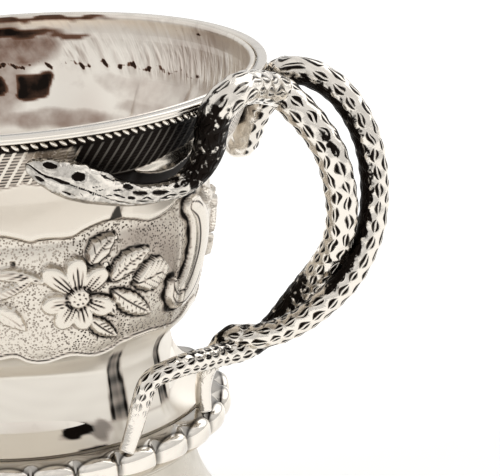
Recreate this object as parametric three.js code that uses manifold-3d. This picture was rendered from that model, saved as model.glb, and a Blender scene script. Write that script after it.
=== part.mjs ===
// Silver christening mug: a flared bowl, square with canted corners below its chased band,
// stands in a gadrooned collar on a hollow spreading foot, and two serpents twined round each
// other make the handle.
// Millimetres, +Z up. The foot stands on z = 0 and the handle points along +X.
import * as THREE from 'three';
import { mergeVertices } from 'three/addons/utils/BufferGeometryUtils.js';
import Module from 'manifold-3d';

// The sheet metal and the solder seams
const gauge = 1; // thickness of the raised silver sheet
const seam = 0.3; // gap left between two pieces that are soldered together

// Heights of the storeys, from the table up
const footWireHeight = 3;
const footHeight = 22.4;
const collarHeight = 6.6;
const collarRebate = 2.2; // depth of the seat for the floor and the bowl's edge
const floorGauge = 0.9;
const coveHeight = 3.1;
const stemHeight = 8.5;
const turnHeight = 3.9;
const bellyHeight = 11.6;
const shoulderHeight = 10;
const flareHeight = 21;

// Radii of the bowl at its corners
const mouthRadius = 42;
const neckRadius = 34;
const bellyRadius = 33.3;
const turnRadius = 29.4;
const waistRadius = 28;
const creaseRadius = 29.4;
const shelfRadius = 30.2;
const shoulderSwell = 1.3; // how far the handles of the shoulder's curve stand out

// The faces of the bowl: four wide ones, and a canted one across each corner between them
const faces = 4;
const cantedAngle = 20; // degrees of the turn that a canted face takes
const cantedMiddle = -31.4; // middle of the canted face nearest the handle, in degrees
const grooveWidth = 1.3; // half the width of the groove along each edge of a face
const stemGroove = 0.9; // depth of the groove on the stem
const bandGroove = 0.3;
const bandFlatness = 0.15; // 0 is round, 1 has flat faces

// The chased band, which repeats on every face. Its lengths are shares of the band's height,
// and its places are along and up from the middle of the flower.
const chasedRise = 1; // how far the flower, the leaves and the scroll stand out of the sheet
const flowerAngle = -55.2; // degrees from the handle
const flowerLevel = 0.57;
const petals = 7;
const firstPetal = 138; // degrees from the way along the band
const petalLength = 0.27;
const petalWidth = 0.11; // half of it at its foot, as with every width here
const buttonRadius = 0.085;
const leaves = [
  { at: [0.1, 0.25], heading: 58, length: 0.26, width: 0.12 },
  { at: [0.21, 0.02], heading: 36, length: 0.43, width: 0.13 },
  { at: [0.39, 0.02], heading: 4, length: 0.35, width: 0.17 },
  { at: [0.25, -0.01], heading: -38, length: 0.43, width: 0.12 },
  { at: [0.07, -0.19], heading: -38, length: 0.3, width: 0.1 },
  { at: [-0.63, -0.01], heading: -62, length: 0.3, width: 0.12 },
];
const scroll = [
  { at: [0.99, 0.33], width: 0.03 },
  { at: [1.13, 0.37], width: 0.08 },
  { at: [1.29, 0.3], width: 0.13 },
  { at: [1.36, 0.13], width: 0.15 },
  { at: [1.3, -0.05], width: 0.14 },
  { at: [1.15, -0.2], width: 0.12 },
  { at: [0.98, -0.22], width: 0.09 },
  { at: [0.88, -0.12], width: 0.07 },
  { at: [0.92, -0.01], width: 0.04 },
];

// Wires round the mouth
const rimWireWidth = 1.7;
const rimWireHeight = 1.3;
const reedDepth = 0.25;
const reedRound = 0.2;
const ropeRadius = 0.6;
const ropeTeeth = 64;

// The gadrooned collar
const lobes = 28;
const lobeSwell = 1.7; // how far a lobe stands out of the cleft beside it
const cleftReach = 2.3; // from the bowl's edge out to the clefts
const cleftDrop = 1.3; // how far the clefts cut down the collar's top edge
const seatWidth = 1.6; // width of the ledge that carries the floor
const firstCleft = -73.6; // degrees from the handle

// The foot
const footInset = 1.3; // how much narrower the foot's top is than the collar's bore
const flangeLap = 0.9; // how far the foot's flange laps under the collar
const footEdgeRadius = 37.4;
const footSheet = 0.9;
const footDraw = 1; // how far the curve of the foot is drawn in under its flange
const footWireWidth = 3.3;

// The serpents of the handle
const handleDepth = 23; // from the line between the rim and the shelf to the outer serpent's spine
const frontRadius = 2.7; // half the thickness of the near serpent
const rearRadius = 2.4;
const headLength = 17;
const headFlat = 0.84; // thickness of the head over its width
const mouthDepth = 0.34;
const browHeight = 0.4;
const eyeRadius = 0.75;
const eyeShare = 0.5; // place of the eye as a share of the head, from the tip of the snout
const serpentSides = 12;
const headRings = 13;
const bodyRings = 50;

// Levels that the storeys add up to
const footBase = footWireHeight + seam;
const footTop = footBase + footHeight;
const collarBase = footTop + seam;
const collarTop = collarBase + collarHeight;
const ledge = collarTop - collarRebate;
const floorBase = ledge + seam;
const bowlBase = floorBase + floorGauge + seam;
const shelf = bowlBase + gauge;
const crease = shelf + coveHeight;
const waist = crease + stemHeight;
const turn = waist + turnHeight;
const belly = turn + bellyHeight;
const neck = belly + shoulderHeight;
const rim = neck + flareHeight;
const rimRadius = mouthRadius + seam + rimWireWidth;
const bandHeight = neck - turn;
const collarEdge = shelfRadius + seam;
const cleftRadius = collarEdge + cleftReach;
const collarBore = collarEdge - seatWidth;
const footTopRadius = collarBore - footInset;
const footFlange = collarBore + flangeLap;
const lobePitch = 360 / lobes;

const turnedSides = 44; // sides of the small turned pieces

const wasm = await Module();
wasm.setup();

const radians = THREE.MathUtils.degToRad;
const mix = THREE.MathUtils.lerp;

// Straight-line value at x between [place, value] stops in rising order of place.
function ramp(x, stops) {
  let value = stops[0][1];
  for (let i = 1; i < stops.length; i++) {
    const [from, low] = stops[i - 1];
    const [to, high] = stops[i];
    value = x >= from ? mix(low, high, Math.min(1, (x - from) / (to - from))) : value;
  }
  return value;
}

function geometryFrom(positions, index) {
  const geometry = new THREE.BufferGeometry();
  geometry.setAttribute('position', new THREE.Float32BufferAttribute(positions.flat(), 3));
  geometry.setIndex(index);
  geometry.computeVertexNormals();
  return geometry;
}

function solidFrom(geometry) {
  const bare = geometry.clone();
  bare.deleteAttribute('normal');
  bare.deleteAttribute('uv');
  const merged = mergeVertices(bare, 1e-4);
  return new wasm.Manifold(new wasm.Mesh({
    numProp: 3,
    vertProperties: merged.attributes.position.array,
    triVerts: new Uint32Array(merged.index.array),
  }));
}

function geometryOf(solid) {
  const mesh = solid.getMesh();
  const geometry = new THREE.BufferGeometry();
  geometry.setAttribute('position', new THREE.BufferAttribute(mesh.vertProperties, 3));
  geometry.setIndex(new THREE.BufferAttribute(mesh.triVerts, 1));
  geometry.computeVertexNormals();
  return geometry;
}

// Closed band round the axis. The rows run round the section of its wall, down the outside
// first, and pointAt(row, column) gives each corner.
function closedBand(rowCount, columnCount, pointAt) {
  const positions = [];
  const index = [];
  const at = (row, column) => (row % rowCount) * columnCount + (column % columnCount);
  for (let row = 0; row < rowCount; row++) {
    for (let column = 0; column < columnCount; column++) {
      positions.push(pointAt(row, column));
      const [a, b] = [at(row, column), at(row + 1, column)];
      const [c, d] = [at(row + 1, column + 1), at(row, column + 1)];
      index.push(a, b, c, a, c, d);
    }
  }
  return geometryFrom(positions, index);
}

// Body of revolution from [radius, height] pairs that go down the outside and up the inside.
function turned(outline, sides = turnedSides) {
  const points = [...outline, outline[0]].map(([r, z]) => new THREE.Vector2(r, z));
  const geometry = new THREE.LatheGeometry(points.reverse(), sides);
  return geometry.rotateX(Math.PI / 2);
}

function polar(radius, angle, height) {
  return [radius * Math.cos(angle), radius * Math.sin(angle), height];
}

// The bowl's outline at a corner, from the mouth down to the shelf.
function bowlOutline() {
  const v = (r, z) => new THREE.Vector2(r, z);
  const flare = new THREE.CubicBezierCurve(
    v(mouthRadius, rim - rimWireHeight),
    v(mouthRadius - 0.1 * (mouthRadius - neckRadius), rim - 0.45 * flareHeight),
    v(neckRadius, neck + 0.24 * flareHeight),
    v(neckRadius, neck),
  );
  const shoulder = new THREE.CubicBezierCurve(
    v(neckRadius, neck),
    v(neckRadius + shoulderSwell, neck - 0.2 * shoulderHeight),
    v(bellyRadius + shoulderSwell, neck - 0.5 * shoulderHeight),
    v(bellyRadius, belly),
  );
  const under = new THREE.CubicBezierCurve(
    v(bellyRadius, belly),
    v(mix(bellyRadius, turnRadius, 0.2), belly - 0.32 * bellyHeight),
    v(mix(bellyRadius, turnRadius, 0.36), turn + 0.26 * bellyHeight),
    v(turnRadius, turn),
  );
  const curl = new THREE.CubicBezierCurve(
    v(turnRadius, turn),
    v(mix(turnRadius, waistRadius, 0.5), turn - 0.32 * turnHeight),
    v(waistRadius, waist + 0.5 * turnHeight),
    v(waistRadius, waist),
  );
  const stem = new THREE.LineCurve(v(waistRadius, waist), v(creaseRadius, crease));
  const cove = new THREE.QuadraticBezierCurve(
    v(creaseRadius, crease),
    v(mix(creaseRadius, shelfRadius, 0.14), shelf + 0.16 * coveHeight),
    v(shelfRadius, shelf),
  );
  const pieces = [[flare, 6], [shoulder, 4], [under, 4], [curl, 3], [stem, 2], [cove, 3]];
  const points = [v(mouthRadius, rim)];
  for (const [curve, steps] of pieces) {
    points.push(...curve.getPoints(steps).slice(0, -1));
  }
  points.push(v(shelfRadius, shelf));
  return points;
}

const outline = bowlOutline();

const outlineStops = outline.map((p) => [p.y, p.x]).reverse();

// Radius of the outside of the bowl, or of the rim wire above it, at a corner.
function wallAt(height) {
  return height > rim - rimWireHeight - seam ? rimRadius : ramp(height, outlineStops);
}

// The outline moved in by the gauge, for the inside of the sheet.
function insideOutline() {
  const inside = outline.map((p, i) => {
    const before = outline[Math.max(0, i - 1)];
    const after = outline[Math.min(outline.length - 1, i + 1)];
    const along = after.clone().sub(before).normalize();
    return new THREE.Vector2(p.x + along.y * gauge, p.y - along.x * gauge);
  });
  inside[0].y = rim;
  inside[inside.length - 1].y = bowlBase;
  return inside.filter((p, i) => i % 2 === 0 || i === inside.length - 1);
}

function flatness(height) {
  return ramp(height, [
    [shelf, 0], [crease, 1], [waist, 1], [turn, bandFlatness], [neck, bandFlatness],
    [mix(neck, rim, 0.4), 0],
  ]);
}

function grooveDepth(height) {
  return ramp(height, [
    [shelf, 0], [crease, stemGroove], [waist, stemGroove], [turn, bandGroove],
    [mix(neck, rim, 0.4), bandGroove], [mix(neck, rim, 0.6), 0],
  ]);
}

// Angles of the columns round the bowl, close together at the faces' edges.
function bowlColumns() {
  const wideSteps = [0, 0.04, 0.15, 0.3, 0.5, 0.7, 0.85, 0.96];
  const cantedSteps = [0, 0.14, 0.5, 0.86];
  const turnAngle = 360 / faces;
  const columns = [];
  for (let i = 0; i < faces; i++) {
    const canted = cantedMiddle - cantedAngle / 2 + i * turnAngle;
    columns.push(...cantedSteps.map((share) => radians(canted + share * cantedAngle)));
    const wide = canted + cantedAngle;
    columns.push(...wideSteps.map((share) => radians(wide + share * (turnAngle - cantedAngle))));
  }
  return columns;
}

// How far an angle is off the middle of its face, the face's half angle, and how far its
// nearest edge is, in radians.
function faceAt(angle) {
  const canted = radians(cantedAngle);
  const turnAngle = (2 * Math.PI) / faces;
  const start = radians(cantedMiddle) - canted / 2;
  const within = THREE.MathUtils.euclideanModulo(angle - start, turnAngle);
  const half = (within < canted ? canted : turnAngle - canted) / 2;
  const off = within < canted ? within - half : within - canted - half;
  return { off, half, edge: half - Math.abs(off) };
}

function bowlPoint(radius, height, angle) {
  const { off, half, edge } = faceAt(angle);
  const chord = Math.cos(half) / Math.cos(off);
  const groove = grooveDepth(height) * Math.max(0, 1 - ((edge * radius) / grooveWidth) ** 2);
  const r = radius * (1 - flatness(height) * (1 - chord)) - groove;
  return polar(r, angle, height);
}

function bowlSheet() {
  const section = [...outline, ...insideOutline().reverse()];
  const columns = bowlColumns();
  return closedBand(section.length, columns.length, (row, column) => (
    bowlPoint(section[row].x, section[row].y, columns[column])
  ));
}

// Point on one repeat of the band, along and up from its flower. Lift is how far it stands
// out of the sheet.
function onBand(along, up, lift, repeat) {
  const height = turn + (flowerLevel + up) * bandHeight;
  const angle = radians(flowerAngle + (repeat * 360) / faces) + (along * bandHeight) / bellyRadius;
  return bowlPoint(ramp(height, outlineStops) + lift, height, angle);
}

const sunk = -gauge / 2; // level of the foot of a raised form, within the sheet
const ridge = [[1, sunk], [0, chasedRise], [-1, sunk]];
const flatRoof = [[1, sunk], [0.45, chasedRise], [-0.45, chasedRise], [-1, sunk]];

// Raised form along a course of places and widths. Its section gives the share of the width
// and the lift of each corner.
function chasedForm(course, section, repeat) {
  const sides = section.length;
  const last = course.length - 1;
  const positions = [];
  const index = [];
  course.forEach(({ at: [along, up], width }, i) => {
    const [x0, y0] = course[Math.max(0, i - 1)].at;
    const [x1, y1] = course[Math.min(last, i + 1)].at;
    const share = width / Math.hypot(x1 - x0, y1 - y0);
    section.forEach(([side, lift], k) => {
      const offset = side * share;
      positions.push(onBand(along - offset * (y1 - y0), up + offset * (x1 - x0), lift, repeat));
      const [a, b] = [i * sides + k, i * sides + ((k + 1) % sides)];
      if (i < last) {
        index.push(a, b, b + sides, a, b + sides, a + sides);
      }
    });
  });
  const end = last * sides;
  for (let k = 1; k < sides - 1; k++) {
    index.push(0, k + 1, k, end, end + k, end + k + 1);
  }
  return solidFrom(geometryFrom(positions, index));
}

// Course of a leaf or a petal from its shape, which is a list of shares of the length and
// of the width.
function leafCourse(shape, { at: [along, up], heading, length, width }) {
  const way = radians(heading);
  return shape.map(([share, full]) => ({
    at: [along + share * length * Math.cos(way), up + share * length * Math.sin(way)],
    width: full * width,
  }));
}

// Domed button in the middle of a flower.
function flowerButton(repeat) {
  const sides = 8;
  const rings = [[1, sunk], [0.75, 1.4 * chasedRise]];
  const positions = [];
  const index = [];
  rings.forEach(([share, lift], i) => {
    for (let k = 0; k < sides; k++) {
      const angle = (k * 2 * Math.PI) / sides;
      const r = share * buttonRadius;
      positions.push(onBand(r * Math.cos(angle), r * Math.sin(angle), lift, repeat));
      const [a, b] = [i * sides + k, i * sides + ((k + 1) % sides)];
      if (i < rings.length - 1) {
        index.push(a, b, b + sides, a, b + sides, a + sides);
      }
    }
  });
  const top = (rings.length - 1) * sides;
  for (let k = 1; k < sides - 1; k++) {
    index.push(0, k + 1, k, top, top + k, top + k + 1);
  }
  return solidFrom(geometryFrom(positions, index));
}

// One flower with its leaves and the scroll beside it.
function chasedRepeat(repeat) {
  const leafShape = [[0, 0.4], [0.5, 1], [1, 0.1]];
  const petalShape = [[0.2, 0.4], [0.7, 1], [1, 0.6]];
  const forms = leaves.map((leaf) => chasedForm(leafCourse(leafShape, leaf), ridge, repeat));
  for (let i = 0; i < petals; i++) {
    const heading = firstPetal - (i * 360) / petals;
    const petal = { at: [0, 0], heading, length: petalLength, width: petalWidth };
    forms.push(chasedForm(leafCourse(petalShape, petal), ridge, repeat));
  }
  return [...forms, chasedForm(scroll, flatRoof, repeat), flowerButton(repeat)];
}

function bowl() {
  const repeats = Array.from({ length: faces }, (_, i) => chasedRepeat(i)).flat();
  return geometryOf(solidFrom(bowlSheet()).add(wasm.Manifold.union(repeats)));
}

// Reeded wire round the mouth: two beads with a fine groove between them.
function rimWire() {
  const inner = mouthRadius + seam;
  const middle = rim - rimWireHeight / 2;
  return turned([
    [inner, rim],
    [rimRadius - reedRound, rim],
    [rimRadius, rim - 0.3 * rimWireHeight],
    [rimRadius - reedDepth, middle],
    [rimRadius, rim - 0.7 * rimWireHeight],
    [rimRadius - reedRound, rim - rimWireHeight],
    [inner, rim - rimWireHeight],
  ]);
}

const ropeHeight = rim - rimWireHeight - seam - ropeRadius;

// Square wire twisted into a rope. A quarter of a turn makes one tooth.
function ropeMoulding() {
  const steps = ropeTeeth * 2;
  const centre = wallAt(ropeHeight - ropeRadius) + seam + ropeRadius;
  return closedBand(4, steps, (corner, step) => {
    const twist = (step * Math.PI) / 4 - (corner * Math.PI) / 2;
    const r = centre + ropeRadius * Math.cos(twist);
    const z = ropeHeight + ropeRadius * Math.sin(twist);
    return polar(r, (step / steps) * 2 * Math.PI, z);
  });
}

function floorDisc() {
  return turned([
    [0, floorBase + floorGauge],
    [shelfRadius, floorBase + floorGauge],
    [shelfRadius, floorBase],
    [0, floorBase],
  ]);
}

// The collar's section as [radius, height, share of the lobe's swell, of the cleft's drop].
function collarSection() {
  const z = (share) => collarBase + share * collarHeight;
  return [
    [collarEdge, collarTop, 0, 0],
    [cleftRadius, z(0.95), 0.1, 1],
    [cleftRadius, z(0.84), 0.78, 0.54],
    [cleftRadius, z(0.62), 1, 0.15],
    [cleftRadius, z(0.37), 0.8, 0],
    [mix(cleftRadius, collarEdge, 0.5), z(0.14), 0.45, 0],
    [collarEdge, collarBase, 0, 0],
    [collarBore, collarBase, 0, 0],
    [collarBore, ledge, 0, 0],
    [collarEdge, ledge, 0, 0],
  ];
}

// Egg-shaped lobes side by side, with the plain top face dipping into each cleft.
function gadroonCollar() {
  const section = collarSection();
  const perLobe = 4;
  return closedBand(section.length, lobes * perLobe, (row, column) => {
    const [radius, height, swell, drop] = section[row];
    const across = (2 * (column % perLobe)) / perLobe - 1;
    const round = Math.sqrt(1 - across * across);
    const angle = radians(firstCleft + (column / perLobe) * lobePitch);
    const top = height - drop * cleftDrop * (1 - round);
    return polar(radius + lobeSwell * swell * round, angle, top);
  });
}

function foot() {
  const v = (r, z) => new THREE.Vector2(r, z);
  const underFlange = footTop - footSheet;
  const sweep = new THREE.CubicBezierCurve(
    v(footTopRadius, underFlange),
    v(footTopRadius - footDraw, mix(footBase, footTop, 0.61)),
    v(mix(footTopRadius, footEdgeRadius, 0.4), mix(footBase, footTop, 0.25)),
    v(footEdgeRadius, footBase),
  );
  const outer = sweep.getPoints(5).map((p) => [p.x, p.y]);
  const inner = sweep.getPoints(4).map((p, i) => {
    const way = sweep.getTangent(i / 4);
    return [p.x + way.y * footSheet, Math.max(footBase, p.y - way.x * footSheet)];
  });
  inner[0] = [footTopRadius - footSheet, footTop];
  return turned([[footFlange, footTop], [footFlange, underFlange], ...outer, ...inner.reverse()]);
}

function footWire() {
  const inner = footEdgeRadius - 0.6 * footWireWidth;
  const outer = inner + footWireWidth;
  return turned([
    [inner, footWireHeight],
    [mix(inner, outer, 0.62), footWireHeight],
    [mix(inner, outer, 0.9), 0.72 * footWireHeight],
    [outer, 0.36 * footWireHeight],
    [mix(inner, outer, 0.84), 0],
    [inner, 0],
  ]);
}

// A serpent's course, from the snout to the tip of the tail. Each row has the angle from the
// handle, the stand-off as a share of the reach, the way down from the rim to the shelf, and
// the share of the serpent's girth.
const frontCourse = [
  [-67, 0.02, 0.084, 0.22],
  [-64, 0.04, 0.1, 0.56],
  [-60, 0.05, 0.126, 0.89],
  [-55, 0.03, 0.156, 1.08],
  [-50, 0.02, 0.186, 0.96],
  [-44, 0, 0.217, 0.74],
  [-37, -0.02, 0.236, 0.62],
  [-31, 0, 0.232, 0.68],
  [-27, 0.03, 0.198, 0.82],
  [-25.8, 0.07, 0.141, 0.94],
  [-26.8, 0.1, 0.07, 1],
  [-27, 0.14, 0.012, 1],
  [-22.5, 0.16, -0.022, 1],
  [-16, 0.14, -0.01, 1],
  [-10, 0.14, 0.014, 1],
  [-4.2, 0.21, 0.05, 1],
  [-4, 0.34, 0.09, 1],
  [-3.8, 0.47, 0.138, 1],
  [-3.5, 0.64, 0.22, 1],
  [-3, 0.77, 0.336, 1],
  [-2.5, 0.82, 0.427, 0.98],
  [-1, 0.8, 0.52, 0.96],
  [0.5, 0.73, 0.59, 0.94],
  [2.3, 0.64, 0.656, 0.92],
  [3.1, 0.55, 0.716, 0.87],
  [2.6, 0.46, 0.774, 0.81],
  [0, 0.37, 0.81, 0.77],
  [-5.2, 0.28, 0.822, 0.76],
  [-10.2, 0.18, 0.82, 0.74],
  [-16, 0.14, 0.811, 0.72],
  [-29, 0.11, 0.792, 0.67],
  [-37, 0.07, 0.812, 0.63],
  [-40, 0.08, 0.876, 0.59],
  [-42, 0.1, 0.94, 0.55],
  [-45, 0.13, 1.01, 0.48],
];
const rearCourse = [
  [67, 0.02, 0.084, 0.25],
  [64, 0.04, 0.1, 0.62],
  [60, 0.05, 0.134, 1],
  [55, 0.04, 0.176, 1.21],
  [50, 0.04, 0.222, 1.04],
  [44, 0.03, 0.27, 0.88],
  [38, 0.03, 0.31, 0.84],
  [32, 0.05, 0.324, 0.84],
  [26.5, 0.09, 0.285, 0.9],
  [22, 0.09, 0.215, 0.94],
  [18, 0.1, 0.135, 0.98],
  [14, 0.13, 0.068, 1],
  [9, 0.15, 0.034, 1],
  [4.2, 0.21, 0.018, 1],
  [3.9, 0.32, 0.02, 1],
  [3.6, 0.58, 0.076, 1],
  [3.3, 0.83, 0.198, 1],
  [2.8, 0.98, 0.351, 1],
  [1.4, 1.02, 0.484, 1],
  [-1, 0.95, 0.604, 0.96],
  [-3.3, 0.79, 0.688, 0.94],
  [-3.7, 0.58, 0.755, 0.92],
  [-4.2, 0.37, 0.784, 0.9],
  [-4.6, 0.18, 0.79, 0.9],
  [-5.2, 0.1, 0.825, 0.8],
  [-6, 0.05, 0.875, 0.66],
  [-6.8, 0.04, 0.938, 0.58],
  [-7, 0.08, 1.015, 0.56],
];

// A row's point. No row sinks into the wall: the serpent lies on it there.
function coursePoint([degrees, stand, down, girth], fullRadius) {
  const height = mix(rim, shelf, down);
  const free = mix(rimRadius, shelfRadius, down) + stand * handleDepth;
  const lying = wallAt(height) + girth * fullRadius + seam;
  return new THREE.Vector3(...polar(Math.max(free, lying), radians(degrees), height));
}

// Places of the rings along the spine: close on the head, wider on the body.
function ringPlaces(length) {
  const head = Array.from({ length: headRings }, (_, i) => (i / headRings) * headLength);
  const body = Array.from({ length: bodyRings + 1 }, (_, i) => i / bodyRings);
  return [...head, ...body.map((share) => mix(headLength, length, share))];
}

// Rings along a serpent. The sections turn with the spine as little as they can, starting
// with their first axis out of the wall.
function serpentRings(course, fullRadius, extra) {
  const spine = new THREE.CatmullRomCurve3(
    course.map((row) => coursePoint(row, fullRadius)), false, 'centripetal',
  );
  spine.arcLengthDivisions = 600;
  const length = spine.getLength();
  const girthStops = course.map((row, i) => [i / (course.length - 1), row[3]]);
  let out = spine.getPointAt(0).setZ(0).normalize();
  return ringPlaces(length).map((s) => {
    const u = Math.min(1, s / length);
    const centre = spine.getPointAt(u);
    const along = spine.getTangentAt(u);
    out = out.clone().addScaledVector(along, -out.dot(along)).normalize();
    const across = along.clone().cross(out);
    const girth = ramp(spine.getUtoTmapping(u), girthStops) * fullRadius + extra;
    return { s, centre, along, out, across, girth };
  });
}

// Bump of height 1 at the middle, down to 0 at a distance of reach.
function bump(x, middle, reach) {
  return Math.max(0, 1 - ((x - middle) / reach) ** 2);
}

// Radius of a ring at one of its corners: the head is flat, with a mouth and a brow.
function sectionPoint(ring, corner, mirror, plain) {
  const phi = (mirror * corner * 2 * Math.PI) / serpentSides;
  const headShare = plain ? 0 : bump(ring.s, 0.45 * headLength, 0.6 * headLength);
  const mouth = corner === 1 ? mouthDepth * bump(ring.s, 0.35 * headLength, 0.45 * headLength) : 0;
  const browed = corner === 11 || corner === 10;
  const brow = browed ? browHeight * bump(ring.s, eyeShare * headLength, 0.3 * headLength) : 0;
  const r = ring.girth + (plain ? 0 : brow - mouth);
  const flat = mix(1, headFlat, headShare);
  return ring.centre.clone()
    .addScaledVector(ring.out, r * Math.cos(phi) * flat)
    .addScaledVector(ring.across, r * Math.sin(phi));
}

function serpentSkin(rings, mirror, plain) {
  const positions = [];
  const index = [];
  const last = rings.length - 1;
  rings.forEach((ring, i) => {
    for (let k = 0; k < serpentSides; k++) {
      positions.push(sectionPoint(ring, k, mirror, plain).toArray());
      const next = (k + 1) % serpentSides;
      const [a, b] = [i * serpentSides + k, i * serpentSides + next];
      if (i < last) {
        index.push(a, b, b + serpentSides, a, b + serpentSides, a + serpentSides);
      }
    }
  });
  const tip = positions.push(rings[0].centre.toArray()) - 1;
  const end = positions.push(rings[last].centre.toArray()) - 1;
  for (let k = 0; k < serpentSides; k++) {
    const next = (k + 1) % serpentSides;
    index.push(tip, next, k, end, last * serpentSides + k, last * serpentSides + next);
  }
  if (mirror < 0) {
    index.reverse();
  }
  return geometryFrom(positions, index);
}

function eyeOn(rings, mirror) {
  const ring = rings.find((r) => r.s >= eyeShare * headLength);
  const phi = (mirror * 11.6 * 2 * Math.PI) / serpentSides;
  const at = ring.centre.clone()
    .addScaledVector(ring.out, headFlat * ring.girth * Math.cos(phi))
    .addScaledVector(ring.across, ring.girth * Math.sin(phi));
  return new THREE.SphereGeometry(eyeRadius, 8, 6).translate(at.x, at.y, at.z);
}

// The room that the mug itself takes, grown by a seam, which the serpents keep out of.
function mugEnvelope() {
  const rope = ropeHeight - ropeRadius - seam;
  const side = outline.filter((p) => p.y < rope).map((p) => [p.x + seam, p.y]);
  const lobeRadius = cleftRadius + lobeSwell + seam;
  return turned([
    [0, rim + seam],
    [rimRadius + seam, rim + seam],
    [rimRadius + seam, rope],
    [wallAt(rope) + seam, rope],
    ...side.slice(0, -1),
    [collarEdge, shelf + seam],
    [collarEdge, collarTop + seam],
    [cleftRadius + seam, collarTop + seam],
    [lobeRadius, mix(collarTop, collarBase, 0.16) + seam],
    [lobeRadius, collarBase],
    [0, collarBase],
  ]);
}

function serpent(course, fullRadius, mirror, keepOut) {
  const rings = serpentRings(course, fullRadius, 0);
  const body = solidFrom(serpentSkin(rings, mirror, false)).add(solidFrom(eyeOn(rings, mirror)));
  return keepOut.reduce((left, tool) => left.subtract(tool), body);
}

function grownSerpent(course, fullRadius, mirror) {
  return solidFrom(serpentSkin(serpentRings(course, fullRadius, seam), mirror, true));
}

// Silver: bright where the polishing wheel reaches, oxidised in the recesses.
const silver = {
  polished: { color: 0xd9d4ca, roughness: 0.16 },
  chased: { color: 0xcfc9be, roughness: 0.24 },
  wire: { color: 0xc4bdb1, roughness: 0.26 },
  inside: { color: 0xc9c0b2, roughness: 0.34 },
  scaled: { color: 0xbdb6aa, roughness: 0.3 },
};

const mug = new THREE.Group();

function place(name, geometry, finish) {
  const material = new THREE.MeshStandardMaterial({ ...finish, metalness: 1 });
  const mesh = new THREE.Mesh(geometry, material);
  mesh.name = name;
  mug.add(mesh);
}

const envelope = solidFrom(mugEnvelope());
const rearSerpent = serpent(rearCourse, rearRadius, -1, [envelope]);
const rearRoom = grownSerpent(rearCourse, rearRadius, -1);
const frontSerpent = serpent(frontCourse, frontRadius, 1, [envelope, rearRoom]);

place('bowl', bowl(), silver.chased);
place('rim_wire', rimWire(), silver.wire);
place('rope_moulding', ropeMoulding(), silver.wire);
place('floor_disc', floorDisc(), silver.inside);
place('gadroon_collar', gadroonCollar(), silver.polished);
place('foot', foot(), silver.polished);
place('foot_wire', footWire(), silver.wire);
place('serpent_front', geometryOf(frontSerpent), silver.scaled);
place('serpent_rear', geometryOf(rearSerpent), silver.scaled);

// The frame's origin is under the middle of the whole mug, handle included.
const middle = new THREE.Box3().setFromObject(mug).getCenter(new THREE.Vector3());
mug.position.x = -middle.x;

export default mug;
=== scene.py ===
# Christening mug in chased silver with a handle of two twined serpents.
# Sizes here are in millimetres from the bowl's axis and the table; they turn to metres when a
# mesh is made.
import math

import bpy
import numpy as np
from mathutils import Matrix, Vector


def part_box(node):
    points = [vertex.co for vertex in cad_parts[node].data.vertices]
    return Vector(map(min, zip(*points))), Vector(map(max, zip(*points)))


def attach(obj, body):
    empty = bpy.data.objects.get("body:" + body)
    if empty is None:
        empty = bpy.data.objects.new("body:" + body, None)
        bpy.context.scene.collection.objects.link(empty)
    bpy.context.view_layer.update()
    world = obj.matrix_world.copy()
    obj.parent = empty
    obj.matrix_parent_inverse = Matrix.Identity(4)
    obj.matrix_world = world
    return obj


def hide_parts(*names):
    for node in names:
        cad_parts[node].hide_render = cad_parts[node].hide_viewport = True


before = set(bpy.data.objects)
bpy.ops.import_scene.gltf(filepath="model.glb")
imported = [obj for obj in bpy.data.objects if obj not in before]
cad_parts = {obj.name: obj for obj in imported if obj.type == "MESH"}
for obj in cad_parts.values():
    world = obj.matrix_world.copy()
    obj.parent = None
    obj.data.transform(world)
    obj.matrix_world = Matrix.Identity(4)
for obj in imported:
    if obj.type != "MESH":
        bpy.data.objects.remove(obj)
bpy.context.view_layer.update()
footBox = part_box("foot")
axisX = (footBox[0].x + footBox[1].x) / 2  # the bowl's axis in the frame, in metres
print("frame loaded, axis at", round(axisX, 5))

scene = bpy.context.scene
scene.view_settings.view_transform = "Standard"

# Levels and radii that the CAD source gives.
levels = {
    "rim": 91.0, "neck": 70.0, "belly": 60.0, "turn": 48.4, "waist": 44.5,
    "crease": 36.0, "shelf": 32.9, "bowlBase": 31.9, "footTop": 25.7, "footBase": 3.3,
    "wireBase": 89.7,  # underside of the wire round the mouth
}
radii = {
    "mouth": 42.0, "neck": 34.0, "belly": 33.3, "turn": 29.4, "waist": 28.0,
    "crease": 29.4, "shelf": 30.2, "rimWire": 44.0,
}
photoBearing = 76.0  # degrees from the handle round to the side that the photograph shows


# sRGB hex value as a linear colour.
def linearColour(code):
    parts = [int(code[i:i + 2], 16) / 255 for i in (1, 3, 5)]
    return tuple(p / 12.92 if p <= 0.04045 else ((p + 0.055) / 1.055) ** 2.4 for p in parts) + (1.0,)


# Adds a node with its settings. An input is a value, a socket to link, or a node to link by its
# first output in use.
def addNode(tree, kind, settings=None, inputs=None):
    node = tree.nodes.new(kind)
    for key, value in (settings or {}).items():
        setattr(node, key, value)
    for socket, value in (inputs or {}).items():
        if isinstance(value, bpy.types.Node):
            value = next(output for output in value.outputs if output.enabled)
        if isinstance(value, bpy.types.NodeSocket):
            tree.links.new(value, node.inputs[socket])
        else:
            node.inputs[socket].default_value = value
    return node


# 0 at low and 1 at high, with soft ends. Low may be the greater of the two.
def smooth(x, low, high):
    t = np.clip((x - low) / (high - low), 0, 1)
    return t * t * (3 - 2 * t)


def mix(a, b, t):
    return a + (b - a) * t


def gaussian(x, width):
    return np.exp(-(x / width) ** 2)


# Point at a radius, angle and height, for whole grids at once.
def polar(r, angle, z):
    return np.stack([r * np.cos(angle), r * np.sin(angle), z + 0 * angle], -1)


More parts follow.
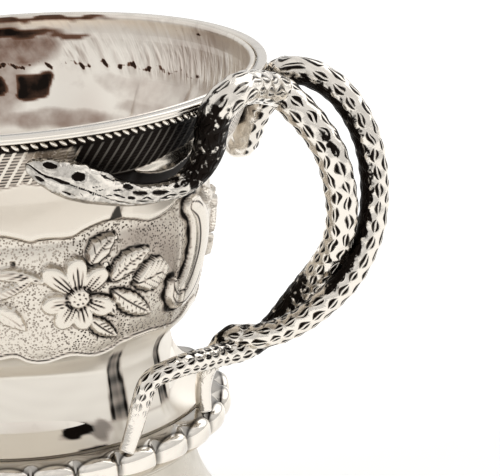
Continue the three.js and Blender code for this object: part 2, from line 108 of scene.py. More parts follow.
# Piece from points in millimetres. Faces are quads or triangles, closed, and turned outwards.
def makePiece(name, points, faces, material, attributes=None, uv=None, replaced=(),
              sharpRings=None):
    points = np.asarray(points, float).reshape(-1, 3) * 0.001
    points[:, 0] += axisX
    a, b, c = (points[faces[:, i]] for i in (0, 1, 2))
    volume = np.einsum("ij,ij->i", a, np.cross(b, c)).sum()
    if faces.shape[1] == 4:
        d = points[faces[:, 3]]
        volume += np.einsum("ij,ij->i", a, np.cross(c, d)).sum()
    if volume < 0:
        faces = faces[:, ::-1]
    mesh = bpy.data.meshes.new(name)
    mesh.vertices.add(len(points))
    mesh.vertices.foreach_set("co", points.astype(np.float32).ravel())
    sides = faces.shape[1]
    mesh.loops.add(len(faces) * sides)
    mesh.loops.foreach_set("vertex_index", faces.astype(np.int32).ravel())
    mesh.polygons.add(len(faces))
    mesh.polygons.foreach_set("loop_start", np.arange(0, len(faces) * sides, sides, dtype=np.int32))
    mesh.polygons.foreach_set("use_smooth", np.ones(len(faces), bool))
    mesh.update(calc_edges=True)
    mesh.validate()
    if sharpRings:
        columns, rings = sharpRings
        ends = np.empty(len(mesh.edges) * 2, np.int32)
        mesh.edges.foreach_get("vertices", ends)
        ring = ends.reshape(-1, 2) // columns
        sharp = (ring[:, 0] == ring[:, 1]) & np.isin(ring[:, 0], rings)
        mesh.attributes.new("sharp_edge", "BOOLEAN", "EDGE").data.foreach_set("value", sharp)
    for key, values in (attributes or {}).items():
        layer = mesh.attributes.new(key, "FLOAT", "POINT")
        layer.data.foreach_set("value", np.asarray(values, np.float32).ravel())
    if uv is not None:
        layer = mesh.uv_layers.new(name="sheet")
        corners = np.empty(len(mesh.loops), np.int32)
        mesh.loops.foreach_get("vertex_index", corners)
        layer.data.foreach_set("uv", uv(corners).astype(np.float32).ravel())
    mesh.materials.append(material)
    piece = bpy.data.objects.new(name, mesh)
    scene.collection.objects.link(piece)
    finishPiece(piece, replaced)
    return piece


# Says which body a piece rides on and which solids it replaces.
def finishPiece(piece, replaced):
    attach(piece, "root")
    if replaced:
        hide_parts(*replaced)
    print("made", piece.name, len(piece.data.polygons), "faces")


# Quads of a grid whose columns close on themselves, and its rows too if asked.
def gridFaces(rows, columns, closed=True):
    last = rows if closed else rows - 1
    r, c = np.meshgrid(np.arange(last), np.arange(columns), indexing="ij")
    up, side = (r + 1) % rows, (c + 1) % columns
    quads = [r * columns + c, up * columns + c, up * columns + side, r * columns + side]
    return np.stack(quads, -1).reshape(-1, 4)


# Points of a straight line or a Bezier curve, by the number of its corners.
def curvePoints(corners, count):
    p = np.asarray(corners, float)
    t = np.linspace(0, 1, count)[:, None]
    if len(p) == 4:
        return (1 - t) ** 3 * p[0] + 3 * (1 - t) ** 2 * t * p[1] + 3 * (1 - t) * t * t * p[2] + t ** 3 * p[3]
    if len(p) == 3:
        return (1 - t) ** 2 * p[0] + 2 * (1 - t) * t * p[1] + t * t * p[2]
    return (1 - t) * p[0] + t * p[1]


# Turned piece from a closed section of [radius, height] points.
def turnedPiece(name, section, material, replaced, columns=240):
    section = np.asarray(section, float)
    angle = np.linspace(0, 2 * np.pi, columns, endpoint=False)
    points = polar(section[:, 0][:, None], angle[None, :], section[:, 1][:, None])
    return makePiece(name, points, gridFaces(len(section), columns), material,
                     replaced=replaced)


# Camera at the photograph's place.
camera = {"place": (133.5, -372.9, 185.6), "pitch": 0.31136, "heading": -14.0, "roll": -0.05788,
          "focal": 172.8, "sensor": 36.0}


def makeCamera():
    turn = math.radians(camera["heading"])
    forward = Vector((math.sin(turn) * math.cos(camera["pitch"]),
                      math.cos(turn) * math.cos(camera["pitch"]), -math.sin(camera["pitch"])))
    right = Vector((math.cos(turn), -math.sin(turn), 0))
    up = right.cross(forward)
    cosine, sine = math.cos(camera["roll"]), math.sin(camera["roll"])
    across = cosine * right + sine * up
    upright = -sine * right + cosine * up
    data = bpy.data.cameras.new("photoCamera")
    data.lens, data.sensor_width = camera["focal"], camera["sensor"]
    data.clip_start, data.clip_end = 0.01, 20
    eye = bpy.data.objects.new("photoCamera", data)
    x, y, z = camera["place"]
    turned = Matrix((across, upright, -forward)).transposed().to_4x4()
    eye.matrix_world = Matrix.Translation((axisX + x / 1000, y / 1000, z / 1000)) @ turned
    scene.collection.objects.link(eye)
    scene.camera = eye


makeCamera()
print("camera placed")

# Colours of the silver finishes.
# rubbedAndLit is the paler colour painted on the lower body as painted light
finishes = {
    "bright": "#e8e1d7", "sheet": "#dbd3c7", "satin": "#cbc4b8", "rubbedAndLit": "#ebe5db",
    "inside": "#f2ebe0", "oxide": "#1b1613", "brownOxide": "#785847", "blush": "#b59a8c",
}


# A metal material to build on, with its node tree, its shader and the place on the object.
def newSilver(name):
    material = bpy.data.materials.new(name)
    material.use_nodes = True
    tree = material.node_tree
    shader = tree.nodes["Principled BSDF"]
    shader.inputs["Metallic"].default_value = 1.0
    place = addNode(tree, "ShaderNodeTexCoord").outputs["Object"]
    return material, tree, shader, place


# Raised and chased sterling silver, polished over its high places and left oxidised in the
# cuts: bright and a little soft, with brown-black lines. The sheet keeps the faint waves of
# the planishing hammer.
def chasedSilver():
    material, tree, shader, place = newSilver("chased sterling silver")
    # this attribute holds oxide and also painted shade, shadows and dark reflections
    tarnishAndShade = addNode(tree, "ShaderNodeAttribute", {"attribute_name": "tarnishAndShade"}).outputs["Fac"]
    matting = addNode(tree, "ShaderNodeAttribute", {"attribute_name": "matting"}).outputs["Fac"]
    hatch = addNode(tree, "ShaderNodeAttribute", {"attribute_name": "hatch"}).outputs["Fac"]
    # punched dots of the matted ground, 0.43 mm apart
    dots = addNode(tree, "ShaderNodeTexVoronoi", {"feature": "F1"},
                   {"Vector": place, "Scale": 2300.0, "Randomness": 0.9})
    pit = addNode(tree, "ShaderNodeMapRange", None,
                  {"Value": dots, "From Min": 0.22, "From Max": 0.46, "To Min": 1.0, "To Max": 0.0})
    pitted = addNode(tree, "ShaderNodeMath", {"operation": "MULTIPLY"}, {0: pit, 1: matting})
    patches = addNode(tree, "ShaderNodeTexNoise", None,
                      {"Vector": place, "Scale": 260.0, "Detail": 3.0})
    uneven = addNode(tree, "ShaderNodeMapRange", None,
                     {"Value": patches, "From Min": 0.3, "From Max": 0.6, "To Min": 0.3,
                      "To Max": 1.0})
    dark = addNode(tree, "ShaderNodeMath", {"operation": "MULTIPLY"}, {0: pitted, 1: uneven})
    # hatching of the frieze: strips 1.6 mm wide that lean to the right, with level dashes
    # 0.53 mm apart in them
    sheet = addNode(tree, "ShaderNodeUVMap", {"uv_map": "sheet"})
    split = addNode(tree, "ShaderNodeSeparateXYZ", None, {"Vector": sheet})
    leaning = addNode(tree, "ShaderNodeMath", {"operation": "MULTIPLY_ADD"},
                      {0: split.outputs["Y"], 1: -0.55, 2: split.outputs["X"]})
    stripPlace = addNode(tree, "ShaderNodeMath", {"operation": "MULTIPLY"}, {0: leaning, 1: 62.5})
    strip = addNode(tree, "ShaderNodeMath", {"operation": "FRACT"}, {0: stripPlace})
    stripEdge = addNode(tree, "ShaderNodeMath", {"operation": "PINGPONG"}, {0: strip, 1: 0.5})
    body = addNode(tree, "ShaderNodeMapRange", None,
                   {"Value": stripEdge, "From Min": 0.12, "From Max": 0.2})
    rungPlace = addNode(tree, "ShaderNodeMath", {"operation": "MULTIPLY"},
                        {0: split.outputs["Y"], 1: 190.0})
    rung = addNode(tree, "ShaderNodeMath", {"operation": "PINGPONG"}, {0: rungPlace, 1: 0.5})
    rungCut = addNode(tree, "ShaderNodeMapRange", None,
                      {"Value": rung, "From Min": 0.18, "From Max": 0.3, "To Min": 1.0,
                       "To Max": 0.12})
    cut = addNode(tree, "ShaderNodeMath", {"operation": "MULTIPLY"}, {0: body, 1: rungCut})
    hatched = addNode(tree, "ShaderNodeMath", {"operation": "MULTIPLY"}, {0: cut, 1: hatch})
    # in the dark stretch, oxide and painted dark reflection, only the ridges between the strips keep some
    # shine
    ridge = addNode(tree, "ShaderNodeMath", {"operation": "SUBTRACT"}, {0: 1.0, 1: body})
    ridgeShine = addNode(tree, "ShaderNodeMath", {"operation": "MULTIPLY"}, {0: ridge, 1: hatch})
    ridgeShare = addNode(tree, "ShaderNodeMath", {"operation": "MULTIPLY"}, {0: ridgeShine, 1: 0.8})
    tarnishAndShadeLeft = addNode(tree, "ShaderNodeMath", {"operation": "SUBTRACT", "use_clamp": True},
                          {0: tarnishAndShade, 1: ridgeShare})
    both = addNode(tree, "ShaderNodeMath", {"operation": "MAXIMUM"}, {0: dark, 1: hatched})
    deep = addNode(tree, "ShaderNodeMapRange", {"interpolation_type": "SMOOTHSTEP"},
                   {"Value": tarnishAndShadeLeft, "From Min": 0.08, "From Max": 0.8})
    total = addNode(tree, "ShaderNodeMath", {"operation": "MAXIMUM", "use_clamp": True},
                    {0: deep, 1: both})
    # painted light: the lower body is painted paler, and is also duller
    rubbedAndLit = addNode(tree, "ShaderNodeAttribute", {"attribute_name": "rubbedAndLit"}).outputs["Fac"]
    clean = addNode(tree, "ShaderNodeMix", {"data_type": "RGBA"},
                    {"Factor": rubbedAndLit, "A": linearColour(finishes["sheet"]),
                     "B": linearColour(finishes["rubbedAndLit"])})
    # thin oxide and light painted shade are brown, thick ones black
    thick = addNode(tree, "ShaderNodeMapRange", None,
                    {"Value": total, "From Min": 0.35, "From Max": 0.8})
    oxideAndShadeTint = addNode(tree, "ShaderNodeMix", {"data_type": "RGBA"},
                   {"Factor": thick, "A": linearColour(finishes["brownOxide"]),
                    "B": linearColour(finishes["oxide"])})
    colour = addNode(tree, "ShaderNodeMix", {"data_type": "RGBA"},
                     {"Factor": total, "A": clean, "B": oxideAndShadeTint})
    tree.links.new(colour.outputs["Result"], shader.inputs["Base Color"])
    rough = addNode(tree, "ShaderNodeMath", {"operation": "MULTIPLY_ADD"},
                    {0: matting, 1: 0.1, 2: 0.27})
    rougher = addNode(tree, "ShaderNodeMath", {"operation": "MULTIPLY_ADD"},
                      {0: total, 1: 0.25, 2: rough})
    dullest = addNode(tree, "ShaderNodeMath", {"operation": "MULTIPLY_ADD"},
                      {0: rubbedAndLit, 1: 0.22, 2: rougher})
    tree.links.new(dullest.outputs[0], shader.inputs["Roughness"])
    # hammer waves about 9 mm across, and a grain of 0.7 mm
    waves = addNode(tree, "ShaderNodeTexNoise", None,
                    {"Vector": place, "Scale": 110.0, "Detail": 1.0})
    waveBump = addNode(tree, "ShaderNodeBump", None,
                       {"Height": waves, "Strength": 0.35, "Distance": 0.0006})
    grain = addNode(tree, "ShaderNodeTexNoise", None,
                    {"Vector": place, "Scale": 1500.0, "Detail": 2.0})
    grainBump = addNode(tree, "ShaderNodeBump", None,
                        {"Height": grain, "Strength": 0.25, "Distance": 0.00005, "Normal": waveBump})
    cuts = addNode(tree, "ShaderNodeMath", {"operation": "MAXIMUM"}, {0: pitted, 1: hatched})
    cutBump = addNode(tree, "ShaderNodeBump", {"invert": True},
                      {"Height": cuts, "Strength": 0.8, "Distance": 0.00015, "Normal": grainBump})
    tree.links.new(cutBump.outputs["Normal"], shader.inputs["Normal"])
    return material


# Polished wire and castings of sterling silver: bright, with a soft brown bloom in the
# hollows that the polishing wheel misses.
def polishedSilver(name, colour, roughness, bloom=0.25):
    material, tree, shader, place = newSilver(name)
    tarnishAndShade = addNode(tree, "ShaderNodeAttribute", {"attribute_name": "tarnishAndShade"}).outputs["Fac"]
    # the bloom lies in patches of about 4 mm
    patches = addNode(tree, "ShaderNodeTexNoise", None,
                      {"Vector": place, "Scale": 230.0, "Detail": 4.0})
    bloomed = addNode(tree, "ShaderNodeMapRange", None,
                      {"Value": patches, "From Min": 0.52, "From Max": 0.8, "To Min": 0.0,
                       "To Max": bloom})
    total = addNode(tree, "ShaderNodeMath", {"operation": "ADD", "use_clamp": True},
                    {0: tarnishAndShade, 1: bloomed})
    tint = addNode(tree, "ShaderNodeMix", {"data_type": "RGBA"},
                   {"Factor": total, "A": linearColour(colour), "B": linearColour(finishes["oxide"])})
    tree.links.new(tint.outputs["Result"], shader.inputs["Base Color"])
    rough = addNode(tree, "ShaderNodeMapRange", None,
                    {"Value": patches, "From Min": 0.3, "From Max": 0.7, "To Min": roughness * 0.8,
                     "To Max": roughness * 1.3})
    tree.links.new(rough.outputs["Result"], shader.inputs["Roughness"])
    waves = addNode(tree, "ShaderNodeTexNoise", None,
                    {"Vector": place, "Scale": 140.0, "Detail": 1.5})
    bump = addNode(tree, "ShaderNodeBump", None,
                   {"Height": waves, "Strength": 0.3, "Distance": 0.0004})
    tree.links.new(bump.outputs["Normal"], shader.inputs["Normal"])
    return material


# Inside of the raised sheet: satin silver gone warm with age. The blows of the chasing show
# through as a belt of short slanted dents under the mouth.
def insideSilver():
    material, tree, shader, place = newSilver("satin silver lining")
    sheet = addNode(tree, "ShaderNodeUVMap", {"uv_map": "sheet"})
    ghost = addNode(tree, "ShaderNodeAttribute", {"attribute_name": "ghost"}).outputs["Fac"]
    # each dent is about 1.3 mm wide and 7 mm long, like the blows behind it
    slant = addNode(tree, "ShaderNodeMapping", {"vector_type": "TEXTURE"},
                    {"Vector": sheet, "Rotation": (0.0, 0.0, -0.55), "Scale": (0.013, 0.07, 1.0)})
    dents = addNode(tree, "ShaderNodeTexNoise", None,
                    {"Vector": slant, "Scale": 1.0, "Detail": 2.5, "Roughness": 0.55})
    shown = addNode(tree, "ShaderNodeMath", {"operation": "MULTIPLY"}, {0: dents, 1: ghost})
    # dark nicks where the tool bit, and brown and black painted dark reflections with ragged edges
    nicked = addNode(tree, "ShaderNodeAttribute", {"attribute_name": "nicked"}).outputs["Fac"]
    # this attribute holds the painted dark reflections inside
    darkened = addNode(tree, "ShaderNodeAttribute", {"attribute_name": "tarnishAndShade"}).outputs["Fac"]
    bite = addNode(tree, "ShaderNodeMath", {"operation": "MULTIPLY_ADD"},
                   {0: nicked, 1: 0.42, 2: dents})
    nick = addNode(tree, "ShaderNodeMapRange", None,
                   {"Value": bite, "From Min": 0.84, "From Max": 0.95, "To Min": 0.0, "To Max": 0.95})
    cloud = addNode(tree, "ShaderNodeTexNoise", None,
                    {"Vector": place, "Scale": 300.0, "Detail": 4.0})
    ragged = addNode(tree, "ShaderNodeMath", {"operation": "MULTIPLY_ADD"},
                     {0: cloud, 1: -0.5, 2: darkened})
    stainAndShade = addNode(tree, "ShaderNodeMapRange", None,
                    {"Value": ragged, "From Min": -0.22, "From Max": 0.75})
    stroke = addNode(tree, "ShaderNodeMapRange", None,
                     {"Value": dents, "From Min": 0.52, "From Max": 0.66, "To Min": 0.0,
                      "To Max": 0.3})
    strokes = addNode(tree, "ShaderNodeMath", {"operation": "MULTIPLY"}, {0: stroke, 1: ghost})
    worked = addNode(tree, "ShaderNodeMath", {"operation": "MAXIMUM"}, {0: nick, 1: strokes})
    marks = addNode(tree, "ShaderNodeMath", {"operation": "MAXIMUM"}, {0: worked, 1: stainAndShade})
    warm = addNode(tree, "ShaderNodeTexNoise", None, {"Vector": place, "Scale": 45.0, "Detail": 2.0})
    warmth = addNode(tree, "ShaderNodeMapRange", None,
                     {"Value": warm, "From Min": 0.48, "From Max": 0.72, "To Min": 0.0,
                      "To Max": 0.4})
    tone = addNode(tree, "ShaderNodeMix", {"data_type": "RGBA"},
                   {"Factor": warmth, "A": linearColour(finishes["inside"]),
                    "B": linearColour(finishes["blush"])})
    browned = addNode(tree, "ShaderNodeMapRange", None,
                      {"Value": marks, "From Min": 0.0, "From Max": 0.6})
    blackened = addNode(tree, "ShaderNodeMapRange", None,
                        {"Value": marks, "From Min": 0.5, "From Max": 1.0})
    brown = addNode(tree, "ShaderNodeMix", {"data_type": "RGBA"},
                    {"Factor": browned, "A": tone, "B": linearColour(finishes["brownOxide"])})
    tint = addNode(tree, "ShaderNodeMix", {"data_type": "RGBA"},
                   {"Factor": blackened, "A": brown, "B": linearColour(finishes["oxide"])})
    tree.links.new(tint.outputs["Result"], shader.inputs["Base Color"])
    shader.inputs["Roughness"].default_value = 0.3
    waves = addNode(tree, "ShaderNodeTexNoise", None, {"Vector": place, "Scale": 70.0, "Detail": 2.0})
    waveBump = addNode(tree, "ShaderNodeBump", None,
                       {"Height": waves, "Strength": 0.5, "Distance": 0.0012})
    dentBump = addNode(tree, "ShaderNodeBump", None,
                       {"Height": shown, "Strength": 0.6, "Distance": 0.0007, "Normal": waveBump})
    tree.links.new(dentBump.outputs["Normal"], shader.inputs["Normal"])
    return material


# Cast silver with every scale cut as a pair of crescents: worn bright between the cuts and
# black in them. The sheet's u counts scales along the serpent and v counts rows round it.
def scaledSilver():
    material, tree, shader, place = newSilver("scale-cut cast silver")
    tarnishAndShade = addNode(tree, "ShaderNodeAttribute", {"attribute_name": "tarnishAndShade"}).outputs["Fac"]
    scaled = addNode(tree, "ShaderNodeAttribute", {"attribute_name": "scaled"}).outputs["Fac"]
    sheet = addNode(tree, "ShaderNodeUVMap", {"uv_map": "sheet"})
    # the cuts wander a little, as hand work does
    wander = addNode(tree, "ShaderNodeTexNoise", None,
                     {"Vector": place, "Scale": 320.0, "Detail": 1.0})
    shift = addNode(tree, "ShaderNodeVectorMath", {"operation": "MULTIPLY_ADD"},
                    {0: wander.outputs["Color"], 1: (0.6, 0.9, 0.0), 2: sheet})
    split = addNode(tree, "ShaderNodeSeparateXYZ", None, {"Vector": shift})
    row = addNode(tree, "ShaderNodeMath", {"operation": "FLOOR"}, {0: split.outputs["Y"]})
    stagger = addNode(tree, "ShaderNodeMath", {"operation": "MULTIPLY_ADD"},
                      {0: row, 1: 0.5, 2: split.outputs["X"]})
    along = addNode(tree, "ShaderNodeMath", {"operation": "FRACT"}, {0: stagger})
    across = addNode(tree, "ShaderNodeMath", {"operation": "FRACT"}, {0: split.outputs["Y"]})
    alongMid = addNode(tree, "ShaderNodeMath", {"operation": "SUBTRACT"}, {0: along, 1: 0.5})
    acrossMid = addNode(tree, "ShaderNodeMath", {"operation": "SUBTRACT"}, {0: across, 1: 0.5})
    alongShare = addNode(tree, "ShaderNodeMath", {"operation": "DIVIDE"}, {0: alongMid, 1: 0.44})
    alongSquare = addNode(tree, "ShaderNodeMath", {"operation": "POWER"}, {0: alongShare, 1: 2.0})
    offset = addNode(tree, "ShaderNodeMath", {"operation": "ABSOLUTE"}, {0: acrossMid})
    outerShare = addNode(tree, "ShaderNodeMath", {"operation": "DIVIDE"}, {0: offset, 1: 0.37})
    slitOffset = addNode(tree, "ShaderNodeMath", {"operation": "SUBTRACT"}, {0: acrossMid, 1: 0.05})
    slitSide = addNode(tree, "ShaderNodeMath", {"operation": "ABSOLUTE"}, {0: slitOffset})
    innerShare = addNode(tree, "ShaderNodeMath", {"operation": "DIVIDE"}, {0: slitSide, 1: 0.085})
    outer = addNode(tree, "ShaderNodeMath", {"operation": "ADD"}, {0: alongSquare, 1: outerShare})
    inner = addNode(tree, "ShaderNodeMath", {"operation": "MULTIPLY_ADD"},
                    {0: alongSquare, 1: 0.35, 2: innerShare})
    insideOuter = addNode(tree, "ShaderNodeMapRange", None,
                          {"Value": outer, "From Min": 0.78, "From Max": 1.08, "To Min": 1.0,
                           "To Max": 0.0})
    outsideInner = addNode(tree, "ShaderNodeMapRange", None,
                           {"Value": inner, "From Min": 0.6, "From Max": 1.6})
    crescents = addNode(tree, "ShaderNodeMath", {"operation": "MULTIPLY"},
                        {0: insideOuter, 1: outsideInner})
    cut = addNode(tree, "ShaderNodeMath", {"operation": "MULTIPLY"}, {0: crescents, 1: scaled})
    patches = addNode(tree, "ShaderNodeTexNoise", None,
                      {"Vector": place, "Scale": 760.0, "Detail": 3.0, "Roughness": 0.6})
    uneven = addNode(tree, "ShaderNodeMapRange", None,
                     {"Value": patches, "From Min": 0.35, "From Max": 0.6, "To Min": 1.0,
                      "To Max": 0.62})
    cutDark = addNode(tree, "ShaderNodeMath", {"operation": "MULTIPLY"}, {0: cut, 1: uneven})
    # the oxide has ragged edges, and is rubbed off the ridges between the scales
    kept = addNode(tree, "ShaderNodeMath", {"operation": "MULTIPLY_ADD"},
                   {0: insideOuter, 1: 0.15, 2: tarnishAndShade})
    ragged = addNode(tree, "ShaderNodeMath", {"operation": "MULTIPLY_ADD"},
                     {0: patches, 1: -1.5, 2: kept})
    stainAndShade = addNode(tree, "ShaderNodeMapRange", None,
                    {"Value": ragged, "From Min": -0.22, "From Max": 0.13})
    both = addNode(tree, "ShaderNodeMath", {"operation": "MAXIMUM", "use_clamp": True},
                   {0: cutDark, 1: stainAndShade})
    total = addNode(tree, "ShaderNodeMapRange", {"interpolation_type": "SMOOTHSTEP"},
                    {"Value": both, "From Min": 0.05, "From Max": 0.68})
    # painted shade: the head and neck are greyed in a grain, most on their lower side
    headShade = addNode(tree, "ShaderNodeAttribute", {"attribute_name": "headShade"}).outputs["Fac"]
    grain = addNode(tree, "ShaderNodeMapRange", None,
                    {"Value": patches, "From Min": 0.35, "From Max": 0.7, "To Min": 0.1,
                     "To Max": 0.7})
    grey = addNode(tree, "ShaderNodeMath", {"operation": "MULTIPLY"}, {0: headShade, 1: grain})
    darkest = addNode(tree, "ShaderNodeMath", {"operation": "MAXIMUM"},
                      {0: total.outputs[0], 1: grey})
    colour = addNode(tree, "ShaderNodeMix", {"data_type": "RGBA"},
                     {"Factor": darkest, "A": linearColour(finishes["bright"]),
                      "B": linearColour(finishes["oxide"])})
    tree.links.new(colour.outputs["Result"], shader.inputs["Base Color"])
    rough = addNode(tree, "ShaderNodeMath", {"operation": "MULTIPLY_ADD"},
                    {0: total.outputs[0], 1: 0.3, 2: 0.2})
    tree.links.new(rough.outputs[0], shader.inputs["Roughness"])
    cutBump = addNode(tree, "ShaderNodeBump", {"invert": True},
                      {"Height": cut, "Strength": 0.8, "Distance": 0.00025})
    lumps = addNode(tree, "ShaderNodeBump", None,
                    {"Height": patches, "Strength": 0.35, "Distance": 0.0003, "Normal": cutBump})
    tree.links.new(lumps.outputs["Normal"], shader.inputs["Normal"])
    return material


chased = chasedSilver()
polished = polishedSilver("polished silver casting", finishes["bright"], 0.15)
satin = polishedSilver("satin silver sheet", finishes["satin"], 0.3, 0.1)
wire = polishedSilver("drawn silver wire", finishes["bright"], 0.18, 0.2)
lining = insideSilver()
scaledFinish = scaledSilver()
print("materials made")

# The bowl: its outside with the chasing, and its lining.
bowl = {
    "gauge": 1.0, "liningColumns": 540,
    "cantedMiddle": -31.4, "cantedAngle": 20.0,  # degrees round of one canted corner, and its width
    "grooveWidth": 1.6, "stemGroove": 0.8, "bandGroove": 0.3, "bandFlatness": 0.15,
    "neckSwell": 1.3, "groundDepth": 0.35,
}


# Outline of the bowl's outside, one curve for each storey from the mouth down.
def outlineCurves():
    z, r = levels, radii
    flareHeight, neckSwell = z["rim"] - z["neck"], bowl["neckSwell"]
    underHeight, curlHeight = z["belly"] - z["turn"], z["turn"] - z["waist"]
    coveHeight = z["crease"] - z["shelf"]
    return {
        "flare": [(r["mouth"], z["wireBase"]),
                  (mix(r["mouth"], r["neck"], 0.1), z["rim"] - 0.45 * flareHeight),
                  (r["neck"], z["neck"] + 0.24 * flareHeight), (r["neck"], z["neck"])],
        "shoulder": [(r["neck"], z["neck"]), (r["neck"] + 0.45 * neckSwell, z["neck"] - 2),
                     (r["belly"] + neckSwell, z["neck"] - 5), (r["belly"], z["belly"])],
        "under": [(r["belly"], z["belly"]),
                  (mix(r["belly"], r["turn"], 0.2), z["belly"] - 0.32 * underHeight),
                  (mix(r["belly"], r["turn"], 0.36), z["turn"] + 0.26 * underHeight),
                  (r["turn"], z["turn"])],
        "curl": [(r["turn"], z["turn"]),
                 (mix(r["turn"], r["waist"], 0.5), z["turn"] - 0.32 * curlHeight),
                 (r["waist"], z["waist"] + 0.5 * curlHeight), (r["waist"], z["waist"])],
        "stem": [(r["waist"], z["waist"]), (r["crease"], z["crease"])],
        "cove": [(r["crease"], z["crease"]),
                 (mix(r["crease"], r["shelf"], 0.14), z["shelf"] + 0.16 * coveHeight),
                 (r["shelf"], z["shelf"])],
    }


# Rows of the whole outline, as many for each storey as are asked for.
def outlineRows(counts):
    rows = []
    curves = outlineCurves()
    for name, count in counts.items():
        rows.append(curvePoints(curves[name], count + 1)[:-1])
    rows.append(np.array([[radii["shelf"], levels["shelf"]]]))
    return np.concatenate(rows)


# Value at z on a bent line through (z, value) stops.
def rampAt(z, stops):
    stops = sorted(stops)
    return np.interp(z, [s[0] for s in stops], [s[1] for s in stops])


# The lower body's four wide faces and four canted corners: how far each place is from its
# face's middle, half the face's angle, and how far it is from the nearest edge.
def faceShare(angle):
    width = math.radians(bowl["cantedAngle"])
    first = math.radians(bowl["cantedMiddle"]) - width / 2
    local = (angle - first) % (math.pi / 2)
    wide = math.pi / 2 - width
    onCanted = local < width
    middle = np.where(onCanted, width / 2, width + wide / 2)
    half = np.where(onCanted, width / 2, wide / 2)
    edge = np.minimum(np.minimum(local, math.pi / 2 - local), np.abs(local - width))
    return local - middle, half, edge


# Radius of the plain wall, without its chasing. Also how deep in a groove each point is.
def wallRadius(r, z, angle):
    shelf, crease, waist, turn, neck, rim = (
        levels[key] for key in ("shelf", "crease", "waist", "turn", "neck", "rim"))
    roundFrom, grooveEnd = mix(neck, rim, 0.4), mix(neck, rim, 0.6)
    flatness, bandGroove, stemGroove = bowl["bandFlatness"], bowl["bandGroove"], bowl["stemGroove"]
    flat = rampAt(z, [(shelf, 0), (crease, 1), (waist, 1), (turn, flatness), (neck, flatness),
                      (roundFrom, 0)])
    depth = rampAt(z, [(shelf, 0), (crease, stemGroove), (waist, stemGroove), (turn, bandGroove),
                       (roundFrom, bandGroove), (grooveEnd, 0)])
    off, half, edge = faceShare(angle)
    chord = np.cos(half) / np.cos(off)
    width = bowl["grooveWidth"] * (1 - 0.3 * smooth(z, 38, 46))  # it narrows upwards
    groove = np.maximum(0, 1 - ((edge * r) / width) ** 2)
    return r * (1 - flat * (1 - chord)) - depth * groove, groove


bandRadius = radii["belly"]
repeat = math.pi / 2 * bandRadius  # length of one repeat of the ornament along the band


# Distance along the band to the nearest repeat of a place.
def wrapped(x):
    return (x + repeat / 2) % repeat - repeat / 2


# One raised leaf or petal on the band. It grows from (x, y) along its heading; full is where
# it is widest, and point is 1 for a sharp tip and less for a round one. Returned are its
# height, where it is, its cut lines and the shadow round it.
def blade(x, y, leaf):
    dx, dy = wrapped(x - leaf["x"]), y - leaf["y"]
    c, s = math.cos(math.radians(leaf["heading"])), math.sin(math.radians(leaf["heading"]))
    along, across = dx * c + dy * s, dy * c - dx * s
    share = along / leaf["length"]
    across = across - leaf.get("bend", 0) * 4 * share * (1 - share)
    held = np.clip(share, 0.0, 1.0)
    power = math.log(0.5) / math.log(leaf.get("full", 0.45))
    half = leaf["width"] * np.maximum(np.sin(np.pi * held ** power), 0) ** leaf.get("point", 0.8)
    teeth = leaf.get("teeth", 0)
    if teeth:
        half = half * (1.04 - 0.14 * np.abs(np.cos(np.pi * teeth * held)))
    beyond = np.maximum(np.maximum(-along, along - leaf["length"]), 0)
    outside = np.hypot(np.maximum(np.abs(across) - half, 0), beyond)
    inside = smooth(half - np.abs(across), -0.1, 0.22) * (beyond == 0)
    dome = np.sqrt(np.clip(1 - (across / np.maximum(half, 0.05)) ** 2, 0, 1))
    height = leaf.get("rise", 0.8) * (0.4 + 0.6 * dome)
    ribEnd = leaf.get("ribEnd", 0.95)
    rib = gaussian(across, 0.17) * smooth(held, ribEnd, ribEnd - 0.2)
    if teeth:
        slant = (along - 1.1 * np.abs(across)) / (leaf["length"] / (teeth + 1.5))
        vein = smooth(np.abs((slant % 1) - 0.5), 0.34, 0.5) * smooth(np.abs(across), 0.15, 0.4)
        vein = vein * smooth(half - np.abs(across), 0.1, 0.35)
        lines = np.maximum(0.9 * rib, 0.85 * vein)
    else:
        side = gaussian(np.abs(across) - 0.42 * half, 0.13) * smooth(held, 0.8, 0.5)
        lines = np.maximum(rib, side)
    height = (height - 0.2 * lines) * inside
    return height, inside, lines * inside, gaussian(outside, 0.6) * (1 - inside)


flower = {"x": 11.7, "y": 60.35, "button": 1.55, "beads": 17, "width": 1.8}
# heading in degrees and length of each petal
petals = [(132, 8.0), (92, 7.2), (46, 6.4), (-30, 6.4), (-80, 5.9), (-124, 6.1), (190, 6.1)]
leaves = [
    {"x": 13.6, "y": 65.9, "heading": 42, "length": 6.4, "width": 1.75, "bend": 0.4, "teeth": 3},
    {"x": 17.0, "y": 62.4, "heading": 29, "length": 8.4, "width": 2.0, "bend": 0.5, "teeth": 5},
    {"x": 17.6, "y": 60.4, "heading": -37, "length": 10.0, "width": 1.8, "bend": -0.3, "teeth": 8},
    {"x": 21.4, "y": 60.8, "heading": 9, "length": 7.0, "width": 3.0, "full": 0.6, "point": 0.5,
     "teeth": 4, "rise": 0.9},
    {"x": 13.5, "y": 56.4, "heading": -40, "length": 6.9, "width": 1.35, "bend": -0.3, "teeth": 6},
    {"x": 15.6, "y": 59.8, "heading": -58, "length": 4.6, "width": 1.2, "bend": 0.2, "teeth": 3},
    {"x": -3.0, "y": 60.0, "heading": -38, "length": 7.4, "width": 1.8, "bend": 0.5, "teeth": 5},
    {"x": -2.6, "y": 65.6, "heading": -12, "length": 9.6, "width": 1.1, "bend": 0.8, "point": 0.6},
    {"x": -4.0, "y": 61.6, "heading": 22, "length": 9.8, "width": 0.95, "bend": -0.7, "point": 0.6},
    {"x": 42.0, "y": 68.8, "heading": 8, "length": 4.6, "width": 1.3, "bend": 0.3, "point": 0.6},
]
